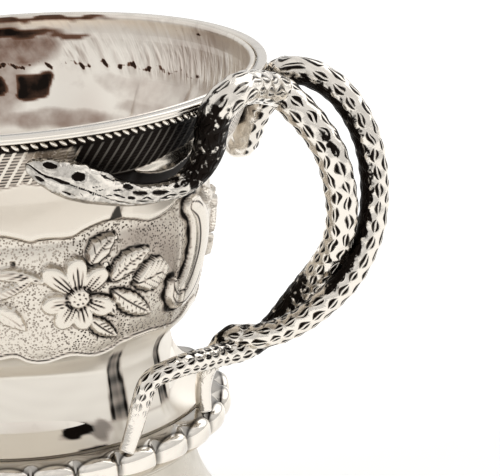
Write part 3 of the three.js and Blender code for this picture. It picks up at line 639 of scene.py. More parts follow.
scrolls = [
    {"points": [(35.2, 70.4), (37.6, 68.6), (38.6, 64.8), (38.2, 60.6), (36.1, 57.0), (33.0, 55.3),
                (30.7, 56.2), (30.2, 58.4)],
     "widths": [1.5, 2.8, 3.5, 3.6, 3.2, 2.4, 1.6, 1.0], "rise": 1.15},
]
# place and radius of each punched berry
berries = [(16.7, 65.0, 0.75), (18.9, 69.1, 0.5), (1.6, 67.2, 0.6), (43.2, 69.2, 0.5)]
# the band's two wavy edges: degrees within a repeat, and height
bandLevels = {
    "upper": [(-16, 71.0), (-8, 72.2), (0, 72.1), (4.8, 71.3), (8, 70.6), (12, 70.9), (19, 70.6),
              (22.6, 71.5), (25.5, 72.1), (30, 72.6), (37, 71.8), (44, 70.5), (50, 70.9),
              (55, 72.1), (60, 73.0), (67, 73.0), (74, 71.0)],
    "lower": [(-16, 52.0), (-9, 50.2), (0, 51.1), (4.8, 49.6), (10, 49.1), (17.6, 50.1),
              (24.8, 49.1), (28.4, 49.1), (31.2, 49.6), (35.5, 50.6), (40.5, 51.0), (45.5, 51.0),
              (51, 50.5), (56, 50.0), (60.5, 50.1), (64, 50.7), (67, 51.9), (74, 52.0)],
}


# Points of a smooth curve through the given ones.
def throughPoints(points, steps=12):
    p = np.asarray(points, float)
    p = np.concatenate([[2 * p[0] - p[1]], p, [2 * p[-1] - p[-2]]])
    out = []
    for i in range(1, len(p) - 2):
        t = np.linspace(0, 1, steps, endpoint=False)[:, None]
        a, b, c, d = p[i - 1:i + 3]
        out.append(0.5 * ((2 * b) + (c - a) * t + (2 * a - 5 * b + 4 * c - d) * t ** 2
                          + (3 * b - a - 3 * c + d) * t ** 3))
    out.append(p[-2][None, :])
    return np.concatenate(out)


# One raised scroll on the band: its height, where it is, its cut line and the shadow round it.
def scroll(x, y, shape):
    line = throughPoints([(*p, w) for p, w in zip(shape["points"], shape["widths"])], 8)
    gap = np.full(x.shape, 99.0)
    share = np.full(x.shape, 99.0)
    for px, py, pw in line:
        d = np.hypot(wrapped(x - px), y - py)
        gap = np.minimum(gap, d - pw)
        share = np.minimum(share, d / pw)
    inside = smooth(-gap, -0.1, 0.25)
    roll = np.sqrt(np.clip(1 - share ** 2, 0, 1))
    height = shape["rise"] * (0.35 + 0.65 * roll) * inside
    scallop = 0.9 + 0.45 * np.sin(y * 2 * np.pi / 3.1)
    # a thin line runs along the middle of the roll
    line = 0.8 * gaussian(share - 0.5, 0.09) * (wrapped(x - shape["points"][3][0]) < 0.6)
    return height, inside, line * inside, gaussian(np.maximum(gap, 0), scallop) * (1 - inside)


# Height of the band's upper or lower edge.
def bandEdge(u, name):
    stops = throughPoints(bandLevels[name], 6)
    return np.interp(u, stops[:, 0], stops[:, 1])


# Raised and cut work of the band: height, coverage, cut lines and shadows.
def bandForms(x, z):
    height, covered, lines, shadow = (np.zeros(z.shape) for _ in range(4))
    fx, fy = flower["x"], flower["y"]
    petalForms = [{"x": fx, "y": fy, "heading": heading, "length": length, "width": flower["width"],
                   "full": 0.7, "point": 0.42, "rise": 0.95, "ribEnd": 0.86}
                  for heading, length in petals]
    forms = [scroll(x, z, shape) for shape in scrolls]
    forms += [blade(x, z, form) for form in leaves + petalForms]
    for h, inside, cut, around in forms:
        lines = np.where(inside > 0.5, cut, lines)
        shadow = np.where(inside > 0.5, 0, np.maximum(shadow, around))
        height = np.where(inside > 0.5, h + 0.05, np.maximum(height, h))
        covered = np.maximum(covered, inside)
    # the scroll's curl is cut in with one line
    curl = throughPoints([(29.6, 59.6), (30.0, 57.4), (31.6, 56.0), (34.0, 56.4)], 8)
    near = np.min([np.hypot(wrapped(x - px), z - py) for px, py in curl], axis=0)
    lines = np.maximum(lines, 0.9 * gaussian(near, 0.2))
    # the flower's button, with a ring of beads round it and punched marks on it
    d = np.hypot(wrapped(x - fx), z - fy)
    turn = np.arctan2(z - fy, wrapped(x - fx))
    button = smooth(d, flower["button"] + 0.1, flower["button"] - 0.15)
    dome = 0.85 + 0.45 * np.sqrt(np.clip(1 - (d / 2) ** 2, 0, 1))
    height = np.where(d < flower["button"] + 0.1, dome, height)
    ring = gaussian(d - flower["button"] - 0.5, 0.34)
    beads = ring * (0.7 + 0.3 * np.cos(flower["beads"] * turn))
    marks = gaussian(d - 0.95, 0.22) * (np.cos(7 * turn + 0.6) > 0.25)
    punched = button * np.maximum(marks, gaussian(d, 0.2))
    lines = np.maximum(lines * (1 - button), np.maximum(beads, 0.95 * punched))
    height = height - 0.35 * beads - 0.2 * punched
    covered = np.maximum(covered, button)
    for bx, by, br in berries:
        d = np.hypot(wrapped(x - bx), z - by)
        spot = smooth(d, br, br - 0.25)
        lines = np.maximum(lines, 0.95 * spot)
        height = height - 0.4 * spot
    return height, covered, lines, shadow


# The band: relief, tarnish and matting, and the height of its upper edge. u is degrees within
# a repeat.
def bandChasing(u, z):
    x = np.radians(u) * bandRadius
    upper, lower = bandEdge(u, "upper"), bandEdge(u, "lower")
    inBand = smooth(z, lower, lower + 0.35) * smooth(z, upper, upper - 0.35)
    height, covered, lines, shadow = bandForms(x, z)
    # incised lines along the band's edges, with a little bright roll beside them
    edge = gaussian(z - upper, 0.19) + gaussian(z - lower, 0.19)
    roll = gaussian(z - upper - 0.6, 0.35) + gaussian(z - lower + 0.6, 0.35)
    ground = inBand * (1 - covered)
    relief = inBand * height - bowl["groundDepth"] * ground
    relief = relief + 0.14 * roll - 0.22 * edge * (1 - covered)
    # worn scales both the ground's oxide and the painted shadow round the forms
    worn = 0.3 + 0.7 * smooth(u, 13, 28) * smooth(u, 74, 62)  # oxide stays best among the leaves
    lines = lines * (0.4 + 0.6 * smooth(x, -0.5, 4) * smooth(x, 42, 40))  # the buds are worn faint
    # painted shadow: the ground round each raised form is darkened
    tarnishAndShade = inBand * np.maximum(lines, 0.95 * worn * shadow * (1 - covered))
    tarnishAndShade = np.maximum(tarnishAndShade, 0.78 * edge * (1 - covered))
    # three places where the dots of the ground are struck closest and hold the most oxide
    crowded = gaussian(x - 22.5, 5) * gaussian(z - 68, 3.5) + gaussian(x - 29, 4.5) * gaussian(z - 63, 6)
    crowded = crowded + 0.6 * gaussian(x - 18, 5) * gaussian(z - 54, 2.5)
    tarnishAndShade = np.maximum(tarnishAndShade, ground * np.clip(0.02 + 0.04 * worn + 0.36 * crowded, 0, 0.42))
    matting = np.clip(ground * (0.5 + 0.6 * worn + 0.5 * crowded), 0, 1)
    return relief, tarnishAndShade, matting, upper


frieze = {"top": 88.0, "base": 82.4, "arch": 1.9, "besideBase": 81.7, "depth": 0.18,
          "tarnishAndShade": 0.36, "hatch": 0.9, "besideHatch": 0.45, "plainShade": 0.2}
# raised leaf under the frieze, by each serpent's neck: degrees and height along its two edges
neckLeaf = {
    "low": [(34, 81.6), (35, 81.0), (38, 80.3), (42, 79.7), (45.6, 79.7), (48.6, 80.7), (53, 82.4),
            (60, 82.6)],
    "high": [(34, 81.3), (37, 81.6), (40, 82.2), (44, 82.9), (48, 83.4), (51, 84.2), (54, 85.2),
             (57, 85.2)],
}
# old tarnish on the cove: place round, height, tilt, half width, half height, strength
coveStains = [
    (19.5, 35.1, 0.07, 6.0, 0.75, 0.95), (23, 32.85, 0, 4.6, 0.28, 0.9),
    (27.2, 35.0, 0.05, 3.6, 1.5, 0.5),
]


# Adds the hatched frieze under the mouth and the plain zone below it. The frieze is painted black
# beside the serpents' necks, from w of 20 degrees on, as a dark reflection over its oxide, and rubbed where
# it begins there.
def friezeChasing(u, w, z, upper, relief, tarnishAndShade, matting):
    arches = np.abs(np.sin(np.radians((u - 52) * 4)))
    beside = smooth(w, 17.5, 20.5) * smooth(w, 70, 56)
    low = mix(frieze["base"] - frieze["arch"] * arches ** 0.7, frieze["besideBase"], beside)
    inside = smooth(z, low, low + 0.3) * smooth(z, frieze["top"], frieze["top"] - 0.3)
    edge = gaussian(z - low, 0.22)
    relief = relief - frieze["depth"] * inside - 0.2 * edge
    rubbedAndLit = gaussian(w - 12.5, 4.5) * smooth(z, 83.4, 84.6)
    hatch = inside * (frieze["hatch"] - frieze["besideHatch"] * beside) * (1 - rubbedAndLit)
    matting = np.maximum(matting, 0.5 * rubbedAndLit * inside)
    plain = smooth(z, upper + 0.5, upper + 1.5) * smooth(z, low, low - 0.6)
    tarnishAndShade = np.maximum(tarnishAndShade, 0.6 * edge)
    # painted shade: the plain zone below the frieze is darkened evenly
    tarnishAndShade = np.maximum(tarnishAndShade, frieze["plainShade"] * plain)
    # painted dark reflection: beside the necks the frieze's oxide is darkened to black
    tarnishAndShade = np.maximum(tarnishAndShade, mix(frieze["tarnishAndShade"], 1.0, beside) * inside)
    return relief, tarnishAndShade, matting, hatch


# Adds the raised leaf by each serpent's neck, and painted shade: under the leaf by the neck,
# the serpent's shadow in the notch below it, and the shadow behind the twisted wire.
def neckChasing(w, z, relief, tarnishAndShade, hatch):
    low, high = rampAt(w, neckLeaf["low"]), rampAt(w, neckLeaf["high"])
    onLeaf = smooth(z, low, low + 0.25) * smooth(z, high + 0.2, high - 0.1)
    onLeaf = onLeaf * smooth(w, 34, 35) * smooth(w, 56, 54)
    relief = relief + onLeaf * 0.8 * (high - z) / np.maximum(high - low, 0.3)
    hatch, tarnishAndShade = hatch * (1 - onLeaf), tarnishAndShade * (1 - onLeaf)
    # painted shade on the wall between the leaf and the serpent's neck
    under = smooth(low - z, -0.05, 0.2) * smooth(z, 76.2, 77)
    under = under * smooth(w, 24, 30) * smooth(w, 66, 54)
    # painted shadow of the twisted wire, all round under the mouth
    behindWire = smooth(z, 87.5, 87.8) * smooth(z, 89.9, 89.7)
    # painted shadow and reflection of the serpent's neck, in the notch at the band's top
    notch = smooth(1.5 - np.abs(w - 31.8) * 0.7 + (73.4 - z) * 0.45, 0, 0.6)
    notch = notch * smooth(z, 72.4, 72.8) * smooth(z, 76.4, 75)
    for dark in (under, behindWire, 0.7 * notch):
        tarnishAndShade = np.maximum(tarnishAndShade, dark)
    return relief, tarnishAndShade, hatch


# Old tarnish in patches on the cove. turned is degrees from the handle.
def coveTarnish(turned, z):
    tarnishAndShade = np.zeros(z.shape)
    for middle, level, tilt, halfWidth, halfHeight, tone in coveStains:
        across = turned + photoBearing - middle
        reach = (across / halfWidth) ** 2 + ((z - level - tilt * across) / halfHeight) ** 2
        reach = reach + 0.25 * np.sin(across * 0.9 + z * 2)
        tarnishAndShade = np.maximum(tarnishAndShade, tone * smooth(reach, 1.9, 0.35))
    return tarnishAndShade


# Chasing of the wall: how far it stands out, how dark, how matted, and how much is hatched.
# u is degrees within a repeat of the ornament. w is degrees towards the handle, counted from
# photoBearing away from it, and is the same on both sides.
def chasing(angle, z):
    u = (np.degrees(angle) + photoBearing + 16) % 90 - 16
    turned = np.degrees((angle + np.pi) % (2 * np.pi) - np.pi)
    w = photoBearing - np.abs(turned)
    relief, tarnishAndShade, matting, upper = bandChasing(u, z)
    relief, tarnishAndShade, matting, hatch = friezeChasing(u, w, z, upper, relief, tarnishAndShade, matting)
    relief, tarnishAndShade, hatch = neckChasing(w, z, relief, tarnishAndShade, hatch)
    tarnishAndShade = np.maximum(tarnishAndShade, coveTarnish(turned, z))
    return relief, np.clip(tarnishAndShade, 0, 1), matting, hatch


# Old tarnish in the grooves beside the canted corners, below the band.
def groovesDark(angle, z, groove):
    stem = smooth(z, levels["crease"] - 0.6, levels["crease"] + 0.6)
    stem = stem * smooth(z, levels["turn"] + 1.0, levels["turn"] - 1.5)
    mottle = 0.85 + 0.15 * np.sin(z * 1.9 + 5 * np.sin(angle * 4)) * np.sin(z * 0.7 + angle * 9)
    return stem * np.clip(1.05 * gaussian(groove - 0.35, 0.28) + 0.72 * groove, 0, 1) * mottle


# Rows of the outline from one height to another, a given distance apart.
def outlineBetween(top, bottom, pitch):
    fine = outlineRows({name: 60 for name in outlineCurves()})
    keep = fine[(fine[:, 1] < top) & (fine[:, 1] > bottom)]
    ends = [[np.interp(z, fine[::-1, 1], fine[::-1, 0]), z] for z in (top, bottom)]
    line = np.concatenate([ends[:1], keep, ends[1:]])
    length = np.concatenate([[0], np.cumsum(np.linalg.norm(np.diff(line, axis=0), axis=1))])
    places = np.linspace(0, length[-1], int(length[-1] / pitch) + 1)
    return np.stack([np.interp(places, length, line[:, k]) for k in range(2)], -1)


# One storey of the bowl's outside. Behind, it is closed within the thickness of the sheet.
def wallPiece(name, top, bottom, pitch, columns):
    section = outlineBetween(top, bottom, pitch)
    angle = np.linspace(0, 2 * np.pi, columns, endpoint=False)[None, :]
    z = section[:, 1][:, None] + 0 * angle
    wall, groove = wallRadius(section[:, 0][:, None] + 0 * angle, z, angle + 0 * z)
    relief, tarnishAndShade, matting, hatch = chasing(angle + 0 * z, z)
    tarnishAndShade = np.maximum(tarnishAndShade, 0.9 * groovesDark(angle + 0 * z, z, groove))
    # painted shade: a dark line along the crease over the cove
    tarnishAndShade = np.maximum(tarnishAndShade, 0.35 * gaussian(z - levels["crease"], 0.5))  # line over the cove
    outer = polar(wall + relief, angle + 0 * z, z)
    backDepth = 0.7
    back = outlineBetween(top, bottom, (top - bottom) / 9)[::-1]
    backZ = back[:, 1][:, None] + 0 * angle
    backWall, _ = wallRadius(back[:, 0][:, None] + 0 * angle, backZ, angle + 0 * backZ)
    points = np.concatenate([outer, polar(backWall - backDepth, angle + 0 * backZ, backZ)])
    fill = np.zeros(backZ.shape)
    # the lower body below the band is painted paler as painted light
    attributes = {key: np.concatenate([value, fill]) for key, value in
                  {"tarnishAndShade": tarnishAndShade, "matting": matting, "hatch": hatch,
                   "rubbedAndLit": smooth(z, 50.5, 48.0)}.items()}
    return makePiece(name, points, gridFaces(len(points), columns), chased, attributes,
                     sheetMap(points, columns), ["bowl"], (columns, [0, len(section) - 1]))


# UV of a ring piece, round at the bowl's middle radius of 38 mm and up. One unit is 100 mm.
def sheetMap(points, columns):
    height = points[:, :, 2].ravel()

    def uv(corners):
        column = (corners % columns).reshape(-1, 4)
        last = column.max(1, keepdims=True) == columns - 1
        column = np.where(last & (column == 0), columns, column).ravel()
        return np.stack([column / columns * 2 * np.pi * 0.38, height[corners] * 0.01], -1)

    return uv


# painted dark reflections inside, some square like a window's: place round and height, half width and half
# height, squareness and strength
liningDarkReflections = [
    (102.2, 78.8, 5.2, 2.1, 6, 0.98), (116, 79.2, 5.6, 1.7, 6, 0.96), (112, 88, 16, 0.9, 2, 0.95),
    (93, 87.2, 6, 0.6, 2, 0.66), (101, 90.5, 19, 0.45, 3, 0.8), (107, 85, 12, 2.8, 2.5, 0.5),
    (119, 82, 15, 9, 3, 0.4), (62, 78.6, 15, 2.2, 2, 0.12), (79, 79.6, 4.5, 1.6, 2, 0.16),
    (96, 73.5, 20, 1.6, 2, 0.4), (66, 75.6, 9, 1.2, 2, 0.22), (52, 81.2, 10, 1.6, 2, 0.1),
]


# Marks inside the bowl: the ghost of the chasing, nicks where its tool bit, and painted dark reflections.
def liningMarks(angles, z):
    degrees = np.degrees(angles) % 360
    patchy = 0.75 + 0.25 * np.sin(angles * 9 + 2 * np.sin(angles * 4))
    ghost = smooth(z, 80, 82.5) * (1 - 0.65 * smooth(z, 86.5, 88)) * patchy
    nicked = 0.92 * gaussian(z - 82.3 - 0.4 * np.sin(degrees * 0.7), 0.7)
    nicked = nicked * smooth(degrees, 130, 112) * smooth(degrees, 40, 48)
    nicked = np.maximum(nicked, 0.5 * ghost * gaussian(degrees - 51, 9))
    belowLip = 0.75 * gaussian(z - 89.3, 0.35) * smooth(degrees, 40, 48) * smooth(degrees, 69, 62)
    nicked = np.maximum(nicked, belowLip)
    darkReflections = np.zeros(z.shape)
    wanderU = degrees + 0.6 * np.sin(z * 1.1 + degrees * 0.2)
    wanderZ = z + 0.25 * np.sin(degrees * 0.5)
    # each patch is a painted dark reflection
    for middle, level, halfWidth, halfHeight, power, tone in liningDarkReflections:
        reach = (np.abs(wanderU - middle) / halfWidth) ** power
        reach = reach + (np.abs(wanderZ - level) / halfHeight) ** power
        darkReflections = np.maximum(darkReflections, tone * smooth(reach, 1.7, 0.4))
    return {"ghost": ghost, "nicked": nicked, "tarnishAndShade": darkReflections}


def bowlLining():
    counts = {"flare": 44, "shoulder": 12, "under": 8, "curl": 5, "stem": 5, "cove": 3}
    section = outlineRows(counts)
    tangent = np.gradient(section, axis=0)
    tangent /= np.linalg.norm(tangent, axis=1)[:, None]
    offset = section + bowl["gauge"] * np.stack([tangent[:, 1], -tangent[:, 0]], -1)
    offset[-1, 1] = levels["bowlBase"]
    # the sheet's edge is rounded over behind the wire
    lip = [(41.98, 89.7), (42.0, 90.6), (41.85, 90.9), (41.5, 91.0), (41.15, 90.85), (41.0, 90.4)]
    offset = offset[offset[:, 1] < 90.0]
    face = np.concatenate([np.array(lip), offset])
    # the back of this thin sheet lies within the wall
    back = section[::-2][:-1].copy()
    back[:, 0] -= 0.35 * bowl["gauge"]
    section = np.concatenate([face, back])
    columns = bowl["liningColumns"]
    angle = np.linspace(0, 2 * np.pi, columns, endpoint=False)
    r, z = section[:, 0][:, None] + 0 * angle, section[:, 1][:, None] + 0 * angle
    angles = 0 * z + angle
    wall, _ = wallRadius(r, z, angles)
    points = polar(wall, angles, z)
    points[len(face):, :, :2] *= 1 - 0.45 * bowl["gauge"] / r[len(face):, :, None]
    return makePiece("bowl_lining", points, gridFaces(len(section), columns), lining,
                     liningMarks(angles, z), sheetMap(points, columns), ["bowl"])


bandTop = 74.8  # the band's piece ends a little above its highest wave
wallPiece("bowl_flare", levels["wireBase"], bandTop, 0.34, 720)
wallPiece("bowl_band", bandTop, levels["turn"], 0.3, 960)
wallPiece("bowl_stem", levels["turn"], levels["shelf"], 0.4, 480)
bowlLining()
print("bowl made")

# Turned pieces: the wire round the mouth, the floor, the foot and the ring that it stands on.
turnedSizes = {
    "wireInner": 42.3, "reedShare": 0.31,  # a reed's radius, as a share of the wire's height
    "floorTop": 31.6, "floorBase": 30.7, "floorRadius": 30.2, "floorDish": 0.15,
    "footSheet": 0.9, "footLedge": 29.8, "footWaist": 27.6, "footHem": 37.4,
    "ringInner": 35.42, "ringOuter": 38.72, "ringTop": 3.0,
}


def rimWire():
    inner, outer, top = turnedSizes["wireInner"], radii["rimWire"], levels["rim"]
    height = top - levels["wireBase"]
    reed = turnedSizes["reedShare"] * height
    middle = outer - reed
    upper = [(middle + reed * math.cos(t), top - reed + reed * math.sin(t))
             for t in np.linspace(math.pi * 0.62, -math.pi * 0.5, 9)]
    lower = [(middle + reed * math.cos(t), top - height + reed + reed * math.sin(t))
             for t in np.linspace(math.pi * 0.5, -math.pi * 0.5, 8)]
    section = [(inner, top), (outer - 2.2 * reed, top)] + upper + lower + [(inner, top - height)]
    return turnedPiece("rim_wire_reeded", section, wire, ["rim_wire"], 360)


# The floor is dished a little towards its middle. A hole too small to see saves it from
# faces without area there.
def floorPlate():
    top, base, edge = turnedSizes["floorTop"], turnedSizes["floorBase"], turnedSizes["floorRadius"]
    hole = 0.02
    arc = [(r, top - turnedSizes["floorDish"] * (1 - (r / edge) ** 2))
           for r in np.linspace(hole, edge, 24)]
    section = arc + [(edge, base), (hole, base)]
    return turnedPiece("floor_plate", section, lining, ["floor_disc"], 120)


def footShell():
    top, base, sheet = levels["footTop"], levels["footBase"], turnedSizes["footSheet"]
    waist, hem, rim = turnedSizes["footWaist"], turnedSizes["footHem"], turnedSizes["footLedge"]
    sweep = curvePoints([(waist, top - sheet), (waist - 1, mix(base, top, 0.61)),
                         (mix(waist, hem, 0.4), mix(base, top, 0.25)), (hem, base)], 40)
    tangent = np.gradient(sweep, axis=0)
    tangent /= np.linalg.norm(tangent, axis=1)[:, None]
    inside = sweep + np.stack([tangent[:, 1], -tangent[:, 0]], -1) * sheet
    inside[:, 1] = np.maximum(inside[:, 1], base)
    inside[0] = (waist - sheet, top)
    ledge = [(rim - 0.3, top), (rim, top - 0.3), (rim, top - 0.6), (rim - 0.3, top - sheet)]
    section = ledge + sweep.tolist() + inside[::-1].tolist()
    return turnedPiece("foot_shell", section, satin, ["foot"], 240)


def footWire():
    inner, outer, height = turnedSizes["ringInner"], turnedSizes["ringOuter"], turnedSizes["ringTop"]
    bead = [(outer - 1.05 + 1.05 * math.cos(t), 1.25 + 0.95 * math.sin(t))
            for t in np.linspace(math.pi * 0.5, -math.pi * 0.35, 10)]
    section = [(inner, height), (mix(inner, outer, 0.6), height), (mix(inner, outer, 0.62), 2.35)]
    section += bead + [(mix(inner, outer, 0.84), 0), (inner, 0)]
    return turnedPiece("foot_wire_moulded", section, wire, ["foot_wire"], 240)


rimWire()
floorPlate()
footShell()
footWire()
print("turned pieces made")


# Input of a node group that a user can set, with its value.
def addInput(tree, name, kind, value):
    socket = tree.interface.new_socket(name, in_out="INPUT", socket_type=kind)
    socket.default_value = value
    return socket


# Runs a node group on a mesh and returns the result as a plain mesh object in its place.
def applyNodes(name, mesh, tree, values):
    host = bpy.data.objects.new(name, mesh)
    scene.collection.objects.link(host)
    modifier = host.modifiers.new("build", "NODES")
    modifier.node_group = tree
    for item in tree.interface.items_tree:
        if item.item_type == "SOCKET" and item.in_out == "INPUT" and item.name in values:
            modifier[item.identifier] = values[item.name]
    graph = bpy.context.evaluated_depsgraph_get()
    made = bpy.data.meshes.new_from_object(host.evaluated_get(graph))
    host.modifiers.remove(modifier)
    host.data = made
    made.name = name
    return host


# Rope moulding: leaning beads in a row under the mouth, made by nodes.
rope = {"beads": 180, "radius": 42.2, "height": 88.85, "length": 1.8, "thickness": 0.62, "lean": 38.0}


def ropeTree():
    tree = bpy.data.node_groups.new("twisted wire", "GeometryNodeTree")
    tree.interface.new_socket("Geometry", in_out="INPUT", socket_type="NodeSocketGeometry")
    addInput(tree, "Beads", "NodeSocketInt", 128)
    addInput(tree, "Ring radius", "NodeSocketFloat", 0.042)
    addInput(tree, "Bead length", "NodeSocketFloat", 0.0014)
    addInput(tree, "Bead thickness", "NodeSocketFloat", 0.0006)
    addInput(tree, "Lean", "NodeSocketFloat", 0.6)
    tree.interface.new_socket("Geometry", in_out="OUTPUT", socket_type="NodeSocketGeometry")
    given = addNode(tree, "NodeGroupInput")
    ring = addNode(tree, "GeometryNodeCurvePrimitiveCircle", {"mode": "RADIUS"},
                   {"Resolution": given.outputs["Beads"], "Radius": given.outputs["Ring radius"]})
    bead = addNode(tree, "GeometryNodeMeshUVSphere", None, {"Segments": 8, "Rings": 7, "Radius": 1.0})
    leaning = addNode(tree, "ShaderNodeCombineXYZ", None,
                      {"X": 0.0, "Y": given.outputs["Lean"], "Z": 0.0})
    slim = addNode(tree, "ShaderNodeMath", {"operation": "MULTIPLY"},
                   {0: given.outputs["Bead thickness"], 1: 0.6})
    half = addNode(tree, "ShaderNodeMath", {"operation": "MULTIPLY"},
                   {0: given.outputs["Bead length"], 1: 0.5})
    size = addNode(tree, "ShaderNodeCombineXYZ", None,
                   {"X": half, "Y": given.outputs["Bead thickness"], "Z": slim})
    shaped = addNode(tree, "GeometryNodeTransform", None, {"Geometry": bead, "Scale": size})
    leant = addNode(tree, "GeometryNodeTransform", None, {"Geometry": shaped, "Rotation": leaning})
    points = addNode(tree, "GeometryNodeCurveToPoints", {"mode": "EVALUATED"}, {"Curve": ring})
    facing = addNode(tree, "FunctionNodeAlignRotationToVector", {"axis": "X", "pivot_axis": "Z"},
                     {"Vector": points.outputs["Tangent"]})
    turned = addNode(tree, "GeometryNodeInstanceOnPoints", None,
                     {"Points": points, "Instance": leant, "Rotation": facing})
    joined = addNode(tree, "GeometryNodeJoinGeometry")
    tree.links.new(turned.outputs["Instances"], joined.inputs["Geometry"])
    tree.links.new(given.outputs["Geometry"], joined.inputs["Geometry"])
    real = addNode(tree, "GeometryNodeRealizeInstances", None, {"Geometry": joined})
    shade = addNode(tree, "GeometryNodeSetShadeSmooth", None, {"Geometry": real})
    coat = addNode(tree, "GeometryNodeSetMaterial", None, {"Geometry": shade})
    coat.inputs["Material"].default_value = wire
    out = addNode(tree, "NodeGroupOutput")
    tree.links.new(coat.outputs["Geometry"], out.inputs["Geometry"])
    return tree


def ropeMoulding():
    core = bpy.data.meshes.new("rope core")
    values = {"Beads": rope["beads"], "Ring radius": rope["radius"] / 1000,
              "Bead length": rope["length"] / 1000, "Bead thickness": rope["thickness"] / 1000,
              "Lean": math.radians(rope["lean"])}
    piece = applyNodes("rope_of_beads", core, ropeTree(), values)
    piece.data.transform(Matrix.Translation((axisX, 0, rope["height"] / 1000)))
    finishPiece(piece, ["rope_moulding"])


ropeMoulding()
print("rope made")

# Gadrooned collar: one lobe is modelled, and nodes copy it round.
collar = {"lobes": 28, "firstCleft": -73.6, "swell": 1.7, "cleft": 32.8, "edge": 30.5,
          "bore": 28.9, "top": 32.6, "base": 26.0, "ledge": 30.4, "columns": 24}


def collarSector():
    pitch = 2 * math.pi / collar["lobes"]
    across = np.linspace(-1, 1, collar["columns"] + 1)
    edge, cleftRadius, top, base = collar["edge"], collar["cleft"], collar["top"], collar["base"]

    def level(share):
        return base + share * (top - base)

    # radius, height, share of the swell, and how far the lobe's sides drop
    stops = [(edge, top, 0, 0), (mix(edge, cleftRadius, 0.6), top - 0.08, 0, 0.35),
             (cleftRadius, level(0.96), 0.12, 1.9), (cleftRadius, level(0.86), 0.74, 1.7),
             (cleftRadius, level(0.66), 1, 0.7), (cleftRadius, level(0.37), 0.8, 0),
             (mix(cleftRadius, edge, 0.5), level(0.14), 0.45, 0), (edge, base, 0, 0)]
    front = throughPoints(stops, 5)
    back = np.array([(collar["bore"], base, 0, 0), (collar["bore"], collar["ledge"], 0, 0),
                     (edge, collar["ledge"], 0, 0)])
    section = np.concatenate([front, back])
    radius, height, swell, drop = (section[:, i][:, None] for i in range(4))
    roundness = np.sqrt(np.clip(1 - across ** 2, 0, 1))[None, :]
    angle = math.radians(collar["firstCleft"]) + (across / 2 + 0.5) * pitch
    points = polar(radius + collar["swell"] * swell * roundness, 0 * radius + angle, 0 * radius)
    points[:, :, 2] = height - drop * (1 - roundness)
    # oxide in the clefts and in the line round each lobe's top
    cleft = gaussian((1 - np.abs(across)) * 3.6, 0.42)[None, :]
    tarnishAndShade = 0.9 * cleft * smooth(swell, 0.02, 0.4)
    tarnishAndShade = tarnishAndShade * (0.5 + 0.5 * smooth(height, level(0.1), level(0.6)))
    outline = gaussian(swell * roundness - 0.12, 0.14) * smooth(height, level(0.66), level(0.8))
    tarnishAndShade = np.maximum(tarnishAndShade, 0.95 * outline)
    rows, columns = points.shape[:2]
    r, c = np.meshgrid(np.arange(rows), np.arange(columns - 1), indexing="ij")
    up = (r + 1) % rows
    quads = [r * columns + c, up * columns + c, up * columns + c + 1, r * columns + c + 1]
    faces = np.stack(quads, -1)
    mesh = bpy.data.meshes.new("collar lobe")
    flat = points.reshape(-1, 3) * 0.001
    mesh.from_pydata(flat.tolist(), [], faces.reshape(-1, 4)[:, ::-1].tolist())
    layer = mesh.attributes.new("tarnishAndShade", "FLOAT", "POINT")
    layer.data.foreach_set("value", np.asarray(tarnishAndShade + 0 * points[:, :, 2], np.float32).ravel())
    return mesh


def collarTree():
    tree = bpy.data.node_groups.new("lobes round a ring", "GeometryNodeTree")
    tree.interface.new_socket("Geometry", in_out="INPUT", socket_type="NodeSocketGeometry")
    addInput(tree, "Lobes", "NodeSocketInt", 28)
    addInput(tree, "Merge distance", "NodeSocketFloat", 0.00001)
    tree.interface.new_socket("Geometry", in_out="OUTPUT", socket_type="NodeSocketGeometry")
    given = addNode(tree, "NodeGroupInput")
    points = addNode(tree, "GeometryNodePoints", None, {"Count": given.outputs["Lobes"]})
    number = addNode(tree, "GeometryNodeInputIndex")
    step = addNode(tree, "ShaderNodeMath", {"operation": "DIVIDE"},
                   {0: 2 * math.pi, 1: given.outputs["Lobes"]})
    turn = addNode(tree, "ShaderNodeMath", {"operation": "MULTIPLY"}, {0: number, 1: step})
    rotation = addNode(tree, "ShaderNodeCombineXYZ", None, {"X": 0.0, "Y": 0.0, "Z": turn})
    copies = addNode(tree, "GeometryNodeInstanceOnPoints", None,
                     {"Points": points, "Instance": given.outputs["Geometry"], "Rotation": rotation})
    real = addNode(tree, "GeometryNodeRealizeInstances", None, {"Geometry": copies})
    merged = addNode(tree, "GeometryNodeMergeByDistance", None,
                     {"Geometry": real, "Distance": given.outputs["Merge distance"]})
    shade = addNode(tree, "GeometryNodeSetShadeSmooth", None, {"Geometry": merged})
    coat = addNode(tree, "GeometryNodeSetMaterial", None, {"Geometry": shade})
    coat.inputs["Material"].default_value = polished
    out = addNode(tree, "NodeGroupOutput")
    tree.links.new(coat.outputs["Geometry"], out.inputs["Geometry"])
    return tree


def gadroonCollar():
    piece = applyNodes("collar_of_lobes", collarSector(), collarTree(), {"Lobes": collar["lobes"]})
    piece.data.transform(Matrix.Translation((axisX, 0, 0)))
    finishPiece(piece, ["gadroon_collar"])


gadroonCollar()
print("collar made")

# The serpents. Girths are half thicknesses; reach is how far a stand-off of 1 goes.
serpents = {"reach": 23.0, "frontGirth": 2.7, "rearGirth": 2.4, "sides": 88, "pitch": 0.36,
            "headPitch": 0.18, "headSpan": 25.0, "headDrop": 0.35, "scalePitch": 3.0, "scaleRows": 8,
            "seam": 0.3, "openingMiddle": (46.0, 0.0, 66.0)}
